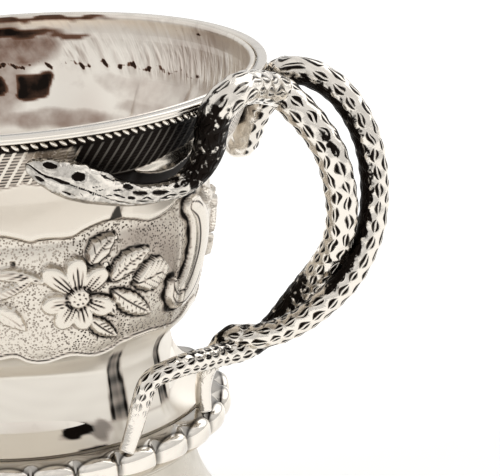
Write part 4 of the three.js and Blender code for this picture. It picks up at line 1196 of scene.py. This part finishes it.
# head: distance from the snout, half height, half thickness out from the wall
headShape = [
    (0, 0.2, 0.2), (0.25, 0.8, 0.65), (0.8, 1.25, 1.0), (1.8, 1.75, 1.4), (3.4, 2.3, 1.8),
    (5.4, 2.8, 2.1), (8.2, 3.1, 2.3), (11.2, 2.98, 2.35), (14.2, 2.55, 2.1), (17.2, 2.15, 1.9),
    (20, 1.87, 1.75), (25, 1.65, 1.7),
]
# rows: degrees from the handle, stand-off, share of the way down, share of the full girth
frontCourse = [
    (-68.2, 0.02, 0.074, 0.22), (-64, 0.04, 0.1, 0.56), (-60, 0.05, 0.126, 0.89), (-55, 0.03, 0.156, 1.08),
    (-50, 0.02, 0.186, 0.96), (-44, 0, 0.217, 0.7), (-37, -0.02, 0.236, 0.57), (-31, 0, 0.232, 0.68),
    (-27, 0.03, 0.198, 0.82), (-25.8, 0.07, 0.141, 0.94), (-26.8, 0.1, 0.07, 1), (-27, 0.14, 0.012, 1),
    (-22.5, 0.16, -0.022, 1), (-16, 0.14, -0.01, 1), (-10, 0.14, 0.014, 1), (-4.2, 0.21, 0.05, 1),
    (-4, 0.34, 0.09, 1), (-3.8, 0.47, 0.138, 1), (-3.5, 0.64, 0.22, 1), (-3, 0.77, 0.336, 1),
    (-2.5, 0.82, 0.427, 0.98), (-1, 0.8, 0.52, 0.96), (0.5, 0.73, 0.59, 0.94), (2.3, 0.64, 0.656, 0.92),
    (3.1, 0.55, 0.716, 0.87), (2.6, 0.46, 0.774, 0.81), (0, 0.37, 0.81, 0.77), (-5.2, 0.28, 0.822, 0.76),
    (-10.2, 0.18, 0.82, 0.74), (-16, 0.14, 0.811, 0.72), (-29, 0.11, 0.792, 0.67), (-37, 0.07, 0.812, 0.63),
    (-40, 0.08, 0.876, 0.59), (-42, 0.1, 0.94, 0.55), (-45, 0.13, 1.01, 0.48),
]
rearCourse = [
    (68.2, 0.02, 0.074, 0.25), (64, 0.04, 0.1, 0.62), (60, 0.05, 0.134, 1), (55, 0.04, 0.176, 1.21),
    (50, 0.04, 0.222, 1.04), (42, 0.03, 0.262, 0.95), (35.5, 0.02, 0.3, 1.1), (31, 0.02, 0.316, 1.14),
    (26.5, 0.02, 0.285, 1.1), (22, 0, 0.215, 1.2), (18, 0.03, 0.135, 1.16), (14, 0.09, 0.068, 1.04),
    (9, 0.14, 0.034, 1), (4.2, 0.21, 0.018, 1), (3.9, 0.32, 0.02, 1), (3.6, 0.58, 0.076, 1),
    (3.3, 0.83, 0.198, 1), (2.8, 0.98, 0.351, 1), (1.4, 1.02, 0.484, 1), (-1, 0.95, 0.604, 0.96),
    (-3.3, 0.79, 0.688, 0.94), (-3.7, 0.58, 0.755, 0.92), (-4.2, 0.37, 0.784, 0.9), (-4.6, 0.18, 0.79, 0.9),
    (-5.2, 0.1, 0.825, 0.8), (-6, 0.05, 0.875, 0.66), (-6.8, 0.04, 0.938, 0.58), (-7, 0.08, 1.015, 0.56),
]


# Radius of the bowl's outside, or of the wire round the mouth, at a height.
def wallAt(z):
    if z > levels["wireBase"] - serpents["seam"]:
        return radii["rimWire"]
    section = outlineRows({"flare": 20, "shoulder": 8, "under": 8, "curl": 6, "stem": 2, "cove": 4})
    return float(np.interp(z, section[::-1, 1], section[::-1, 0]))


# A row of a course as a point. The spine keeps at least its own girth and the seam from the
# wall.
def coursePoint(row, girth):
    degrees, stand, down, share = row
    z = mix(levels["rim"], levels["shelf"], down)
    free = mix(radii["rimWire"], radii["shelf"], down) + stand * serpents["reach"]
    r = max(free, wallAt(z) + share * girth + serpents["seam"])
    a = math.radians(degrees)
    return np.array([r * math.cos(a), r * math.sin(a), z])


# Centripetal curve through the course, with its length and girth along it.
def serpentSpine(course, fullGirth):
    p = np.array([coursePoint(row, fullGirth) for row in course])
    share = np.array([row[3] for row in course]) * fullGirth
    p = np.concatenate([[2 * p[0] - p[1]], p, [2 * p[-1] - p[-2]]])
    line, girth = [], []
    for i in range(1, len(p) - 2):
        a, b, c, d = p[i - 1:i + 3]
        ta, tb, tc = (np.linalg.norm(v) ** 0.5 for v in (b - a, c - b, d - c))
        m1 = ((b - a) / ta - (c - a) / (ta + tb) + (c - b) / tb) * tb
        m2 = ((c - b) / tb - (d - b) / (tb + tc) + (d - c) / tc) * tb
        t = np.linspace(0, 1, 30, endpoint=i == len(p) - 3)[:, None]
        line.append(b + m1 * t + (-3 * b + 3 * c - 2 * m1 - m2) * t ** 2 + (2 * b - 2 * c + m1 + m2) * t ** 3)
        girth.append(mix(share[i - 1], share[i], t[:, 0]))
    line, girth = np.concatenate(line), np.concatenate(girth)
    steps = np.linalg.norm(np.diff(line, axis=0), axis=1)
    length = np.concatenate([[0], np.cumsum(steps)])
    even = np.linspace(0, length[-1], int(length[-1] / serpents["pitch"]))
    spine = np.stack([np.interp(even, length, line[:, k]) for k in range(3)], -1)
    for _ in range(3):
        spine[1:-1] = 0.25 * spine[:-2] + 0.5 * spine[1:-1] + 0.25 * spine[2:]
    thick = np.interp(even, length, girth)
    for _ in range(8):
        thick[1:-1] = 0.25 * thick[:-2] + 0.5 * thick[1:-1] + 0.25 * thick[2:]
    # the head is cut finer than the body
    span = serpents["headSpan"]
    s = np.concatenate([np.arange(0, span, serpents["headPitch"]), even[even > span]])
    spine = np.stack([np.interp(s, even, spine[:, k]) for k in range(3)], -1)
    spine[:, 2] -= serpents["headDrop"] * smooth(s, span, span - 9)
    return s, spine, np.interp(s, even, thick)


# Half height and half thickness along a serpent.
def serpentGirths(s, thick):
    shape = np.array(headShape)
    share = smooth(s, serpents["headSpan"], serpents["headSpan"] - 5)
    tall = mix(thick, np.interp(s, shape[:, 0], shape[:, 1]), share)
    deep = mix(thick, np.interp(s, shape[:, 0], shape[:, 2]), share)
    return tall, deep


# Ways along a spine, out from the bowl and across both, carried along it without a twist.
def serpentFrames(spine):
    along = np.gradient(spine, axis=0)
    along /= np.linalg.norm(along, axis=1)[:, None]
    out = np.zeros_like(spine)
    way = np.array([spine[0, 0], spine[0, 1], 0.0])
    for i in range(len(spine)):
        way = way - way.dot(along[i]) * along[i]
        way = way / np.linalg.norm(way)
        out[i] = way
    return along, out, np.cross(along, out)


# Cuts of the head and neck. Each runs from one place to another, given as millimetres from the
# snout and degrees round from straight out, down being positive. Then half width, depth,
# darkness and the height of the lip round it.
headCuts = [
    (2.3, -43, 4.4, -44, 0.66, 0.3, 1, 0.12), (6.7, -21, 8.7, -35, 0.86, 0.35, 1, 0.16),  # nostril, eye
    (10.8, -51, 13.6, -53, 0.5, 0.2, 0.8, 0.3), (1.8, 39, 3.4, 32, 0.5, 0.25, 1, 0.1),
    (6.3, 36, 8.3, 37, 0.3, 0.15, 0.8, 0.1),
    (5.0, -45, 5.4, -62, 0.14, 0.15, 0.9, 0), (5.6, -45, 5.9, -65, 0.14, 0.15, 0.9, 0),
    (6.1, -48, 6.5, -65, 0.13, 0.15, 0.9, 0), (8.3, -8, 9.3, -11, 0.12, 0.1, 0.8, 0),
    (10.0, -6, 11.6, -18, 0.15, 0.15, 0.9, 0), (10.8, 2, 13.1, -17, 0.15, 0.15, 0.9, 0),
    (13.0, 9, 14.7, -1, 0.15, 0.15, 0.9, 0), (8.0, 10, 9.7, 33, 0.13, 0.1, 0.8, 0),
    (9.8, 9, 11.2, 19, 0.13, 0.1, 0.8, 0), (11.2, 19, 11.6, 44, 0.12, 0.1, 0.8, 0),
    (13.9, -15, 16.2, -29, 0.2, 0.15, 1, 0), (14.3, -3, 16.9, 2, 0.22, 0.15, 1, 0.05),
    (15.6, -40, 18.1, -49, 0.42, 0.2, 1, 0.1), (17.9, -29, 21.3, -30, 0.4, 0.2, 1, 0.1),
    (22.3, -31, 26.0, -25, 0.42, 0.2, 1, 0.1), (17.2, -2, 18.8, -2, 0.33, 0.15, 1, 0.05),
    (20.2, 6, 21.1, -11, 0.2, 0.15, 1, 0), (21.1, -11, 22.9, 13, 0.2, 0.15, 1, 0),
    (24.4, 18, 26.2, -5, 0.22, 0.15, 1, 0), (26.2, -5, 27.9, 11, 0.22, 0.15, 1, 0),
    (24.8, 16, 26.7, 21, 0.2, 0.15, 1, 0), (15.1, 25, 17.9, 27, 0.18, 0.1, 1, 0),
    (19.3, 12, 22.1, 19, 0.24, 0.15, 1, 0.05), (27.1, -45, 28.9, -39, 0.34, 0.2, 1, 0.05),
    (28.2, -77, 30.1, -67, 0.24, 0.2, 1, 0), (3.6, 30, 5.6, 44, 0.14, 0.1, 0.7, 0),
]
# lines on the skin: place, degrees and half width
mouthLine = [
    (0.1, -34, 0.1), (0.9, -11, 0.13), (1.8, 1, 0.15), (3.0, 8, 0.16), (4.2, 5, 0.22),
    (5.8, 3, 0.26), (7.6, 5, 0.18), (9.7, 8, 0.17), (11.9, 13, 0.15), (14.2, 21, 0.13),
    (16.6, 26, 0.12), (19, 34, 0.1),
]
browLine = [
    (6.6, -58, 0.35), (8.4, -62, 0.55), (9.8, -55, 0.55), (11, -46, 0.5), (12.4, -37, 0.55),
    (13.8, -38, 0.55), (15.5, -46, 0.45), (18.4, -56, 0.4), (21.3, -54, 0.4), (24.8, -58, 0.4),
    (27.4, -52, 0.35),
]
# the dark band above the brow: at each place, where it begins and ends across the skin
aboveBrow = {
    "places": [6, 9, 13, 18, 31],
    "outer": [-3.4, -3.7, -2.6, -2.35, -2.1], "outerFull": [-4.2, -4.4, -3.3, -2.8, -2.6],
    "inner": [-5.6, -5.6, -4.4, -3.9, -3.6], "innerFull": [-5.0, -5.0, -3.9, -3.4, -3.2],
}


# Distance from each point of the skin to a bent line on it, and the line's width there.
def lineOnSkin(stops, s, arc, tall):
    line = throughPoints(stops, 6)
    gap = np.full(np.broadcast(s, arc).shape, 99.0)
    width = np.full(gap.shape, 0.1)
    for at, degrees, half in line:
        d = np.hypot(s - at, (arc - math.radians(degrees)) * tall)
        nearer = d < gap
        gap, width = np.where(nearer, d, gap), np.where(nearer, half, width)
    return gap, width


# One cut on the head: how far inside it each point is, and how far on the lip round it.
def headCut(s, arc, tall, place):
    s0, a0, s1, a1, half = place
    mean = np.interp((s0 + s1) / 2, s[:, 0], tall[:, 0])
    dx, dy = s1 - s0, (a1 - a0) * mean
    long = math.hypot(dx, dy) / 2
    ex, ey = dx / (2 * long), dy / (2 * long)
    px, py = s - (s0 + s1) / 2, (arc - (a0 + a1) / 2) * tall
    along, across = px * ex + py * ey, py * ex - px * ey
    taper = np.sqrt(np.clip(1 - (along / (long + 0.08)) ** 2, 0, 1))
    inside = smooth(half * taper - np.abs(across), -0.06, 0.12) * (np.abs(along) < long + 0.08)
    beyond = np.hypot(np.maximum(np.abs(along) - long, 0), np.maximum(np.abs(across) - half * taper, 0))
    return inside, gaussian(beyond - 0.22, 0.2) * (1 - inside)


# Relief and darkness of the head and neck on a grid of skin points: oxide in the cuts and a dark band above
# the brow. Also where the brow is.
def headWork(s, arc, tall):
    relief, dark = np.zeros(np.broadcast(s, arc).shape), np.zeros(np.broadcast(s, arc).shape)
    gap, width = lineOnSkin(browLine, s, arc, tall)
    lumps = 0.75 + 0.25 * np.cos(s * 2 * np.pi / 2.1)
    brow = smooth(gap, width * 1.5, width * 0.5)
    relief += 0.5 * brow * lumps
    outer, outerFull, inner, innerFull = (np.interp(s, aboveBrow["places"], aboveBrow[key]) for key in
                                          ("outer", "outerFull", "inner", "innerFull"))
    above = smooth(arc * tall, outer, outerFull) * smooth(arc * tall, inner, innerFull)
    dark = np.maximum(dark, above * smooth(s, 7, 9) * (1 - brow))
    for s0, d0, s1, d1, half, depth, tone, lip in headCuts:
        inside, ring = headCut(s, arc, tall, (s0, math.radians(d0), s1, math.radians(d1), half))
        relief += lip * ring - depth * inside
        dark = np.maximum(dark * (1 - min(1, 4 * lip) * ring), tone * inside)
    gap, width = lineOnSkin(mouthLine, s, arc, tall)
    mouth = smooth(gap, width * 1.6, width * 0.7)
    relief -= 0.25 * mouth
    return relief, np.maximum(dark, mouth), brow


# Mesh of a tube of skin points, closed at each end by a fan round a tip.
def tubeMesh(name, points, tips, mirrored):
    rows, sides = points.shape[:2]
    faces = gridFaces(rows, sides, closed=False)
    k = np.arange(sides)
    following = (k + 1) % sides
    first, last = rows * sides, rows * sides + 1
    snout = np.stack([np.full(sides, first), following, k], -1)
    tail = np.stack([np.full(sides, last), (rows - 1) * sides + k, (rows - 1) * sides + following], -1)
    if mirrored:
        faces, snout, tail = faces[:, ::-1], snout[:, ::-1], tail[:, ::-1]
    mesh = bpy.data.meshes.new(name)
    metres = np.concatenate([points.reshape(-1, 3), tips]) * 0.001
    metres[:, 0] += axisX
    mesh.from_pydata(metres.tolist(), [], faces.tolist() + snout.tolist() + tail.tolist())
    mesh.validate()
    mesh.polygons.foreach_set("use_smooth", np.ones(len(mesh.polygons), bool))
    return mesh


# UV of a serpent: scales counted along it, and rows of them counted round it.
def scaleMap(mesh, cells, sides):
    layer = mesh.uv_layers.new(name="sheet")
    corners = np.empty(len(mesh.loops), np.int32)
    mesh.loops.foreach_get("vertex_index", corners)
    column = corners % sides
    row = np.minimum(corners // sides, len(cells) - 1)
    starts = np.empty(len(mesh.polygons), np.int32)
    totals = np.empty(len(mesh.polygons), np.int32)
    mesh.polygons.foreach_get("loop_start", starts)
    mesh.polygons.foreach_get("loop_total", totals)
    owner = np.repeat(np.arange(len(starts)), totals)
    # faces across the seam take the seam's far side
    crossing = np.zeros(len(starts), bool)
    np.logical_or.at(crossing, owner, column == sides - 1)
    column = np.where(crossing[owner] & (column == 0), sides, column)
    uv = np.stack([cells[row], column / sides * serpents["scaleRows"]], -1)
    layer.data.foreach_set("uv", uv.astype(np.float32).ravel())


def serpentPiece(name, course, fullGirth, mirror, node, stainAndShade):
    s, spine, girth = serpentSpine(course, fullGirth)
    along, out, across = serpentFrames(spine)
    sides = serpents["sides"]
    phi = np.linspace(0, 2 * np.pi, sides, endpoint=False)[None, :]
    arc = (phi + math.pi) % (2 * math.pi) - math.pi  # 0 is out from the wall, positive is down
    tall, deep = (g[:, None] for g in serpentGirths(s, girth))
    length = s[:, None]
    relief, tarnishAndShade, brow = headWork(length, arc, tall)
    onHead = smooth(length, 31, 28)
    relief, tarnishAndShade = relief * onHead, tarnishAndShade * onHead
    # scales grow with the body, and a low swelling lies under each
    scaleLength = serpents["scalePitch"] * np.clip(girth / fullGirth, 0.55, 1.1)
    scaleLength = scaleLength * (1 + 0.4 * gaussian(s - 61, 7))
    cells = np.cumsum(np.gradient(s) / scaleLength)
    v = phi / (2 * np.pi) * serpents["scaleRows"]
    bulge = np.cos((cells[:, None] + 0.5 * np.floor(v)) * 2 * np.pi) * -1
    scaleAmount = smooth(length, 26, 29) * smooth(length, s[-1] - 4, s[-1] - 13)
    relief = relief + 0.09 * scaleAmount * bulge * np.abs(np.sin(v * np.pi))
    turn = mirror * phi
    way = np.cos(turn)[..., None] * out[:, None, :] + np.sin(turn)[..., None] * across[:, None, :]
    toOpening = np.array(serpents["openingMiddle"]) - spine
    toOpening /= np.linalg.norm(toOpening, axis=1)[:, None]
    inward = (way * toOpening[:, None, :]).sum(-1)
    oxide, plain = stainAndShade(length, inward, way)
    tarnishAndShade = np.clip(np.maximum(tarnishAndShade, oxide), 0, 1)
    scaleAmount = scaleAmount * (1 - plain) + 0 * arc
    points = (spine[:, None, :] + ((deep + relief) * np.cos(turn))[..., None] * out[:, None, :]
              + ((tall + relief) * np.sin(turn))[..., None] * across[:, None, :])
    tips = np.array([spine[0] - along[0] * 0.12, spine[-1]])
    mesh = tubeMesh(name, points, tips, mirror < 0)
    # painted shade on the head and neck, kept off the top and the brow and strongest underneath
    shadeOnHead = smooth(length, 34, 26) * smooth(arc, -1.7, -1.1) * (0.75 + 0.25 * smooth(arc, 0.2, 0.9))
    shadeOnHead = shadeOnHead * (1 - brow)
    for key, values in {"tarnishAndShade": tarnishAndShade, "scaled": scaleAmount, "headShade": shadeOnHead}.items():
        layer = mesh.attributes.new(key, "FLOAT", "POINT")
        layer.data.foreach_set("value", np.concatenate([values.ravel(), [0, 0]]).astype(np.float32))
    scaleMap(mesh, cells, sides)
    mesh.materials.append(scaledFinish)
    piece = bpy.data.objects.new(name, mesh)
    scene.collection.objects.link(piece)
    finishPiece(piece, [node])
    return piece


# Oxide that polishing has left on the front serpent: in the neck where it drops to the head,
# where the strands cross and low on the tail. Returned with it is where the skin has no
# scales. inward is 1 towards the handle's opening, and way is the way that the skin faces.
def frontStain(s, inward, way):
    neck = 0.84 * smooth(s, 27, 32) * smooth(s, 50, 43)
    belly = 0.84 * smooth(inward, -0.15, 0.35) * smooth(s, 99, 106) * smooth(s, 122, 116)
    crossing = 0.66 * gaussian(s - 109, 6)
    flank = 0.72 * gaussian(s - 76.5, 3.6) * gaussian(inward + 0.62, 0.28)
    knot = 0.8 * gaussian(s - 121, 3.5)
    tail = 0.55 * smooth(s, 124, 128) * smooth(inward, 0.2, 0.7)
    plain = 0.3 * gaussian(s - 55, 12)
    return np.max(np.broadcast_arrays(neck, belly, crossing, flank, knot, tail), axis=0), plain


# The same for the rear serpent, which is darkest towards the opening and behind its head.
def rearStain(s, inward, way):
    inner = 0.62 * smooth(inward, -0.25, 0.1) + 0.38 * smooth(inward, 0.32, 0.45)
    inner = inner * smooth(s, 50, 56) * smooth(s, 112, 104)
    hidden = smooth(s, 12, 15) * smooth(s, 29, 24)
    low = 0.55 * smooth(inward, 0.1, 0.6) * smooth(s, 104, 110)
    turned = 0.8 * gaussian(s - 128, 2.2)
    left = way @ np.array([-0.97, -0.24, 0.0])
    plain = smooth(left, -0.15, 0.15) * smooth(s, 25, 29) * smooth(s, 46, 42)
    return np.max(np.broadcast_arrays(inner, hidden, low, turned), axis=0), plain


serpentPiece("serpent_front_scaled", frontCourse, serpents["frontGirth"], 1, "serpent_front", frontStain)
serpentPiece("serpent_rear_scaled", rearCourse, serpents["rearGirth"], -1, "serpent_rear", rearStain)
print("serpents made")

# Studio: a white paper floor, a white room that the metal mirrors, and two soft lamps.
studio = {
    "floor": "#efefed", "floorGlow": 0.5, "floorMirrored": 0.58, "roomLight": 0.45,
    # brightness of the room that the metal mirrors: at the height of the table, at 15 and 33
    # degrees up, and overhead
    "low": 0.75, "middle": 0.78, "high": 0.95, "overhead": 1.0,
    "key": 5.0, "keySize": 0.7, "rim": 4.0, "rimSize": 1.3,
}


def makeFloor():
    mesh = bpy.data.meshes.new("floor")
    size = 6.0
    corners = [(-size, -size, 0), (size, -size, 0), (size, size, 0), (-size, size, 0)]
    mesh.from_pydata(corners, [], [(0, 1, 2, 3)])
    floor = bpy.data.objects.new("floor", mesh)
    scene.collection.objects.link(floor)
    material = bpy.data.materials.new("white paper floor")
    material.use_nodes = True
    tree = material.node_tree
    tree.nodes.clear()
    seen = addNode(tree, "ShaderNodeLightPath")
    glossy = addNode(tree, "ShaderNodeMath", {"operation": "MULTIPLY"},
                     {0: seen.outputs["Is Glossy Ray"], 1: studio["floorMirrored"]})
    glow = addNode(tree, "ShaderNodeMath", {"operation": "MULTIPLY_ADD"},
                   {0: seen.outputs["Is Camera Ray"], 1: studio["floorGlow"], 2: glossy})
    paper = addNode(tree, "ShaderNodeBsdfDiffuse", None, {"Color": linearColour(studio["floor"])})
    light = addNode(tree, "ShaderNodeEmission", None, {"Strength": glow})
    both = addNode(tree, "ShaderNodeAddShader", None, {0: paper, 1: light})
    addNode(tree, "ShaderNodeOutputMaterial", None, {"Surface": both})
    mesh.materials.append(material)


# White to the camera. The metal sees a room that is bright above and greyer near the
# table, with soft greyer openings between the white screens.
def makeWorld():
    world = bpy.data.worlds.new("white room")
    scene.world = world
    world.use_nodes = True
    tree = world.node_tree
    tree.nodes.clear()
    way = addNode(tree, "ShaderNodeTexCoord")
    split = addNode(tree, "ShaderNodeSeparateXYZ", None, {"Vector": way.outputs["Generated"]})
    ramp = addNode(tree, "ShaderNodeValToRGB", None, {"Fac": split.outputs["Z"]})
    ramp.color_ramp.interpolation = "EASE"
    stops = [(0.02, studio["low"]), (0.25, studio["middle"]), (0.55, studio["high"]),
             (1.0, studio["overhead"])]
    while len(ramp.color_ramp.elements) < len(stops):
        ramp.color_ramp.elements.new(0.5)
    for element, (place, grey) in zip(ramp.color_ramp.elements, stops):
        element.position = place
        element.color = (grey, grey, grey, 1.0)
    gaps = addNode(tree, "ShaderNodeTexNoise", None,
                   {"Vector": way.outputs["Generated"], "Scale": 1.6, "Detail": 1.0})
    screens = addNode(tree, "ShaderNodeMapRange", {"interpolation_type": "SMOOTHSTEP"},
                      {"Value": gaps, "From Min": 0.36, "From Max": 0.5, "To Min": 0.82,
                       "To Max": 1.0})
    room = addNode(tree, "ShaderNodeMath", {"operation": "MULTIPLY"}, {0: ramp, 1: screens})
    seen = addNode(tree, "ShaderNodeLightPath")
    mirrored = addNode(tree, "ShaderNodeMix", {"data_type": "FLOAT"},
                       {"Factor": seen.outputs["Is Glossy Ray"], "A": studio["roomLight"], "B": room})
    strength = addNode(tree, "ShaderNodeMath", {"operation": "MAXIMUM"},
                       {0: seen.outputs["Is Camera Ray"], 1: mirrored})
    back = addNode(tree, "ShaderNodeBackground", None,
                   {"Color": (1.0, 1.0, 1.0, 1.0), "Strength": strength})
    addNode(tree, "ShaderNodeOutputWorld", None, {"Surface": back})


def makeLamp(name, place, target, size, power, mirrored):
    data = bpy.data.lights.new(name, "AREA")
    data.shape, data.size, data.energy = "DISK", size, power
    lamp = bpy.data.objects.new(name, data)
    lamp.location = place
    lamp.rotation_mode = "QUATERNION"
    lamp.rotation_quaternion = (Vector(target) - Vector(place)).to_track_quat("-Z", "Y")
    scene.collection.objects.link(lamp)
    lamp.visible_glossy = mirrored


def makeStudio():
    makeFloor()
    makeWorld()
    middle = (axisX, 0, 0.06)
    makeLamp("key softbox", (-0.7, -0.5, 0.9), middle, studio["keySize"], studio["key"], False)
    makeLamp("rim softbox", (0.6, 0.7, 0.7), middle, studio["rimSize"], studio["rim"], True)


makeStudio()
print("studio made")
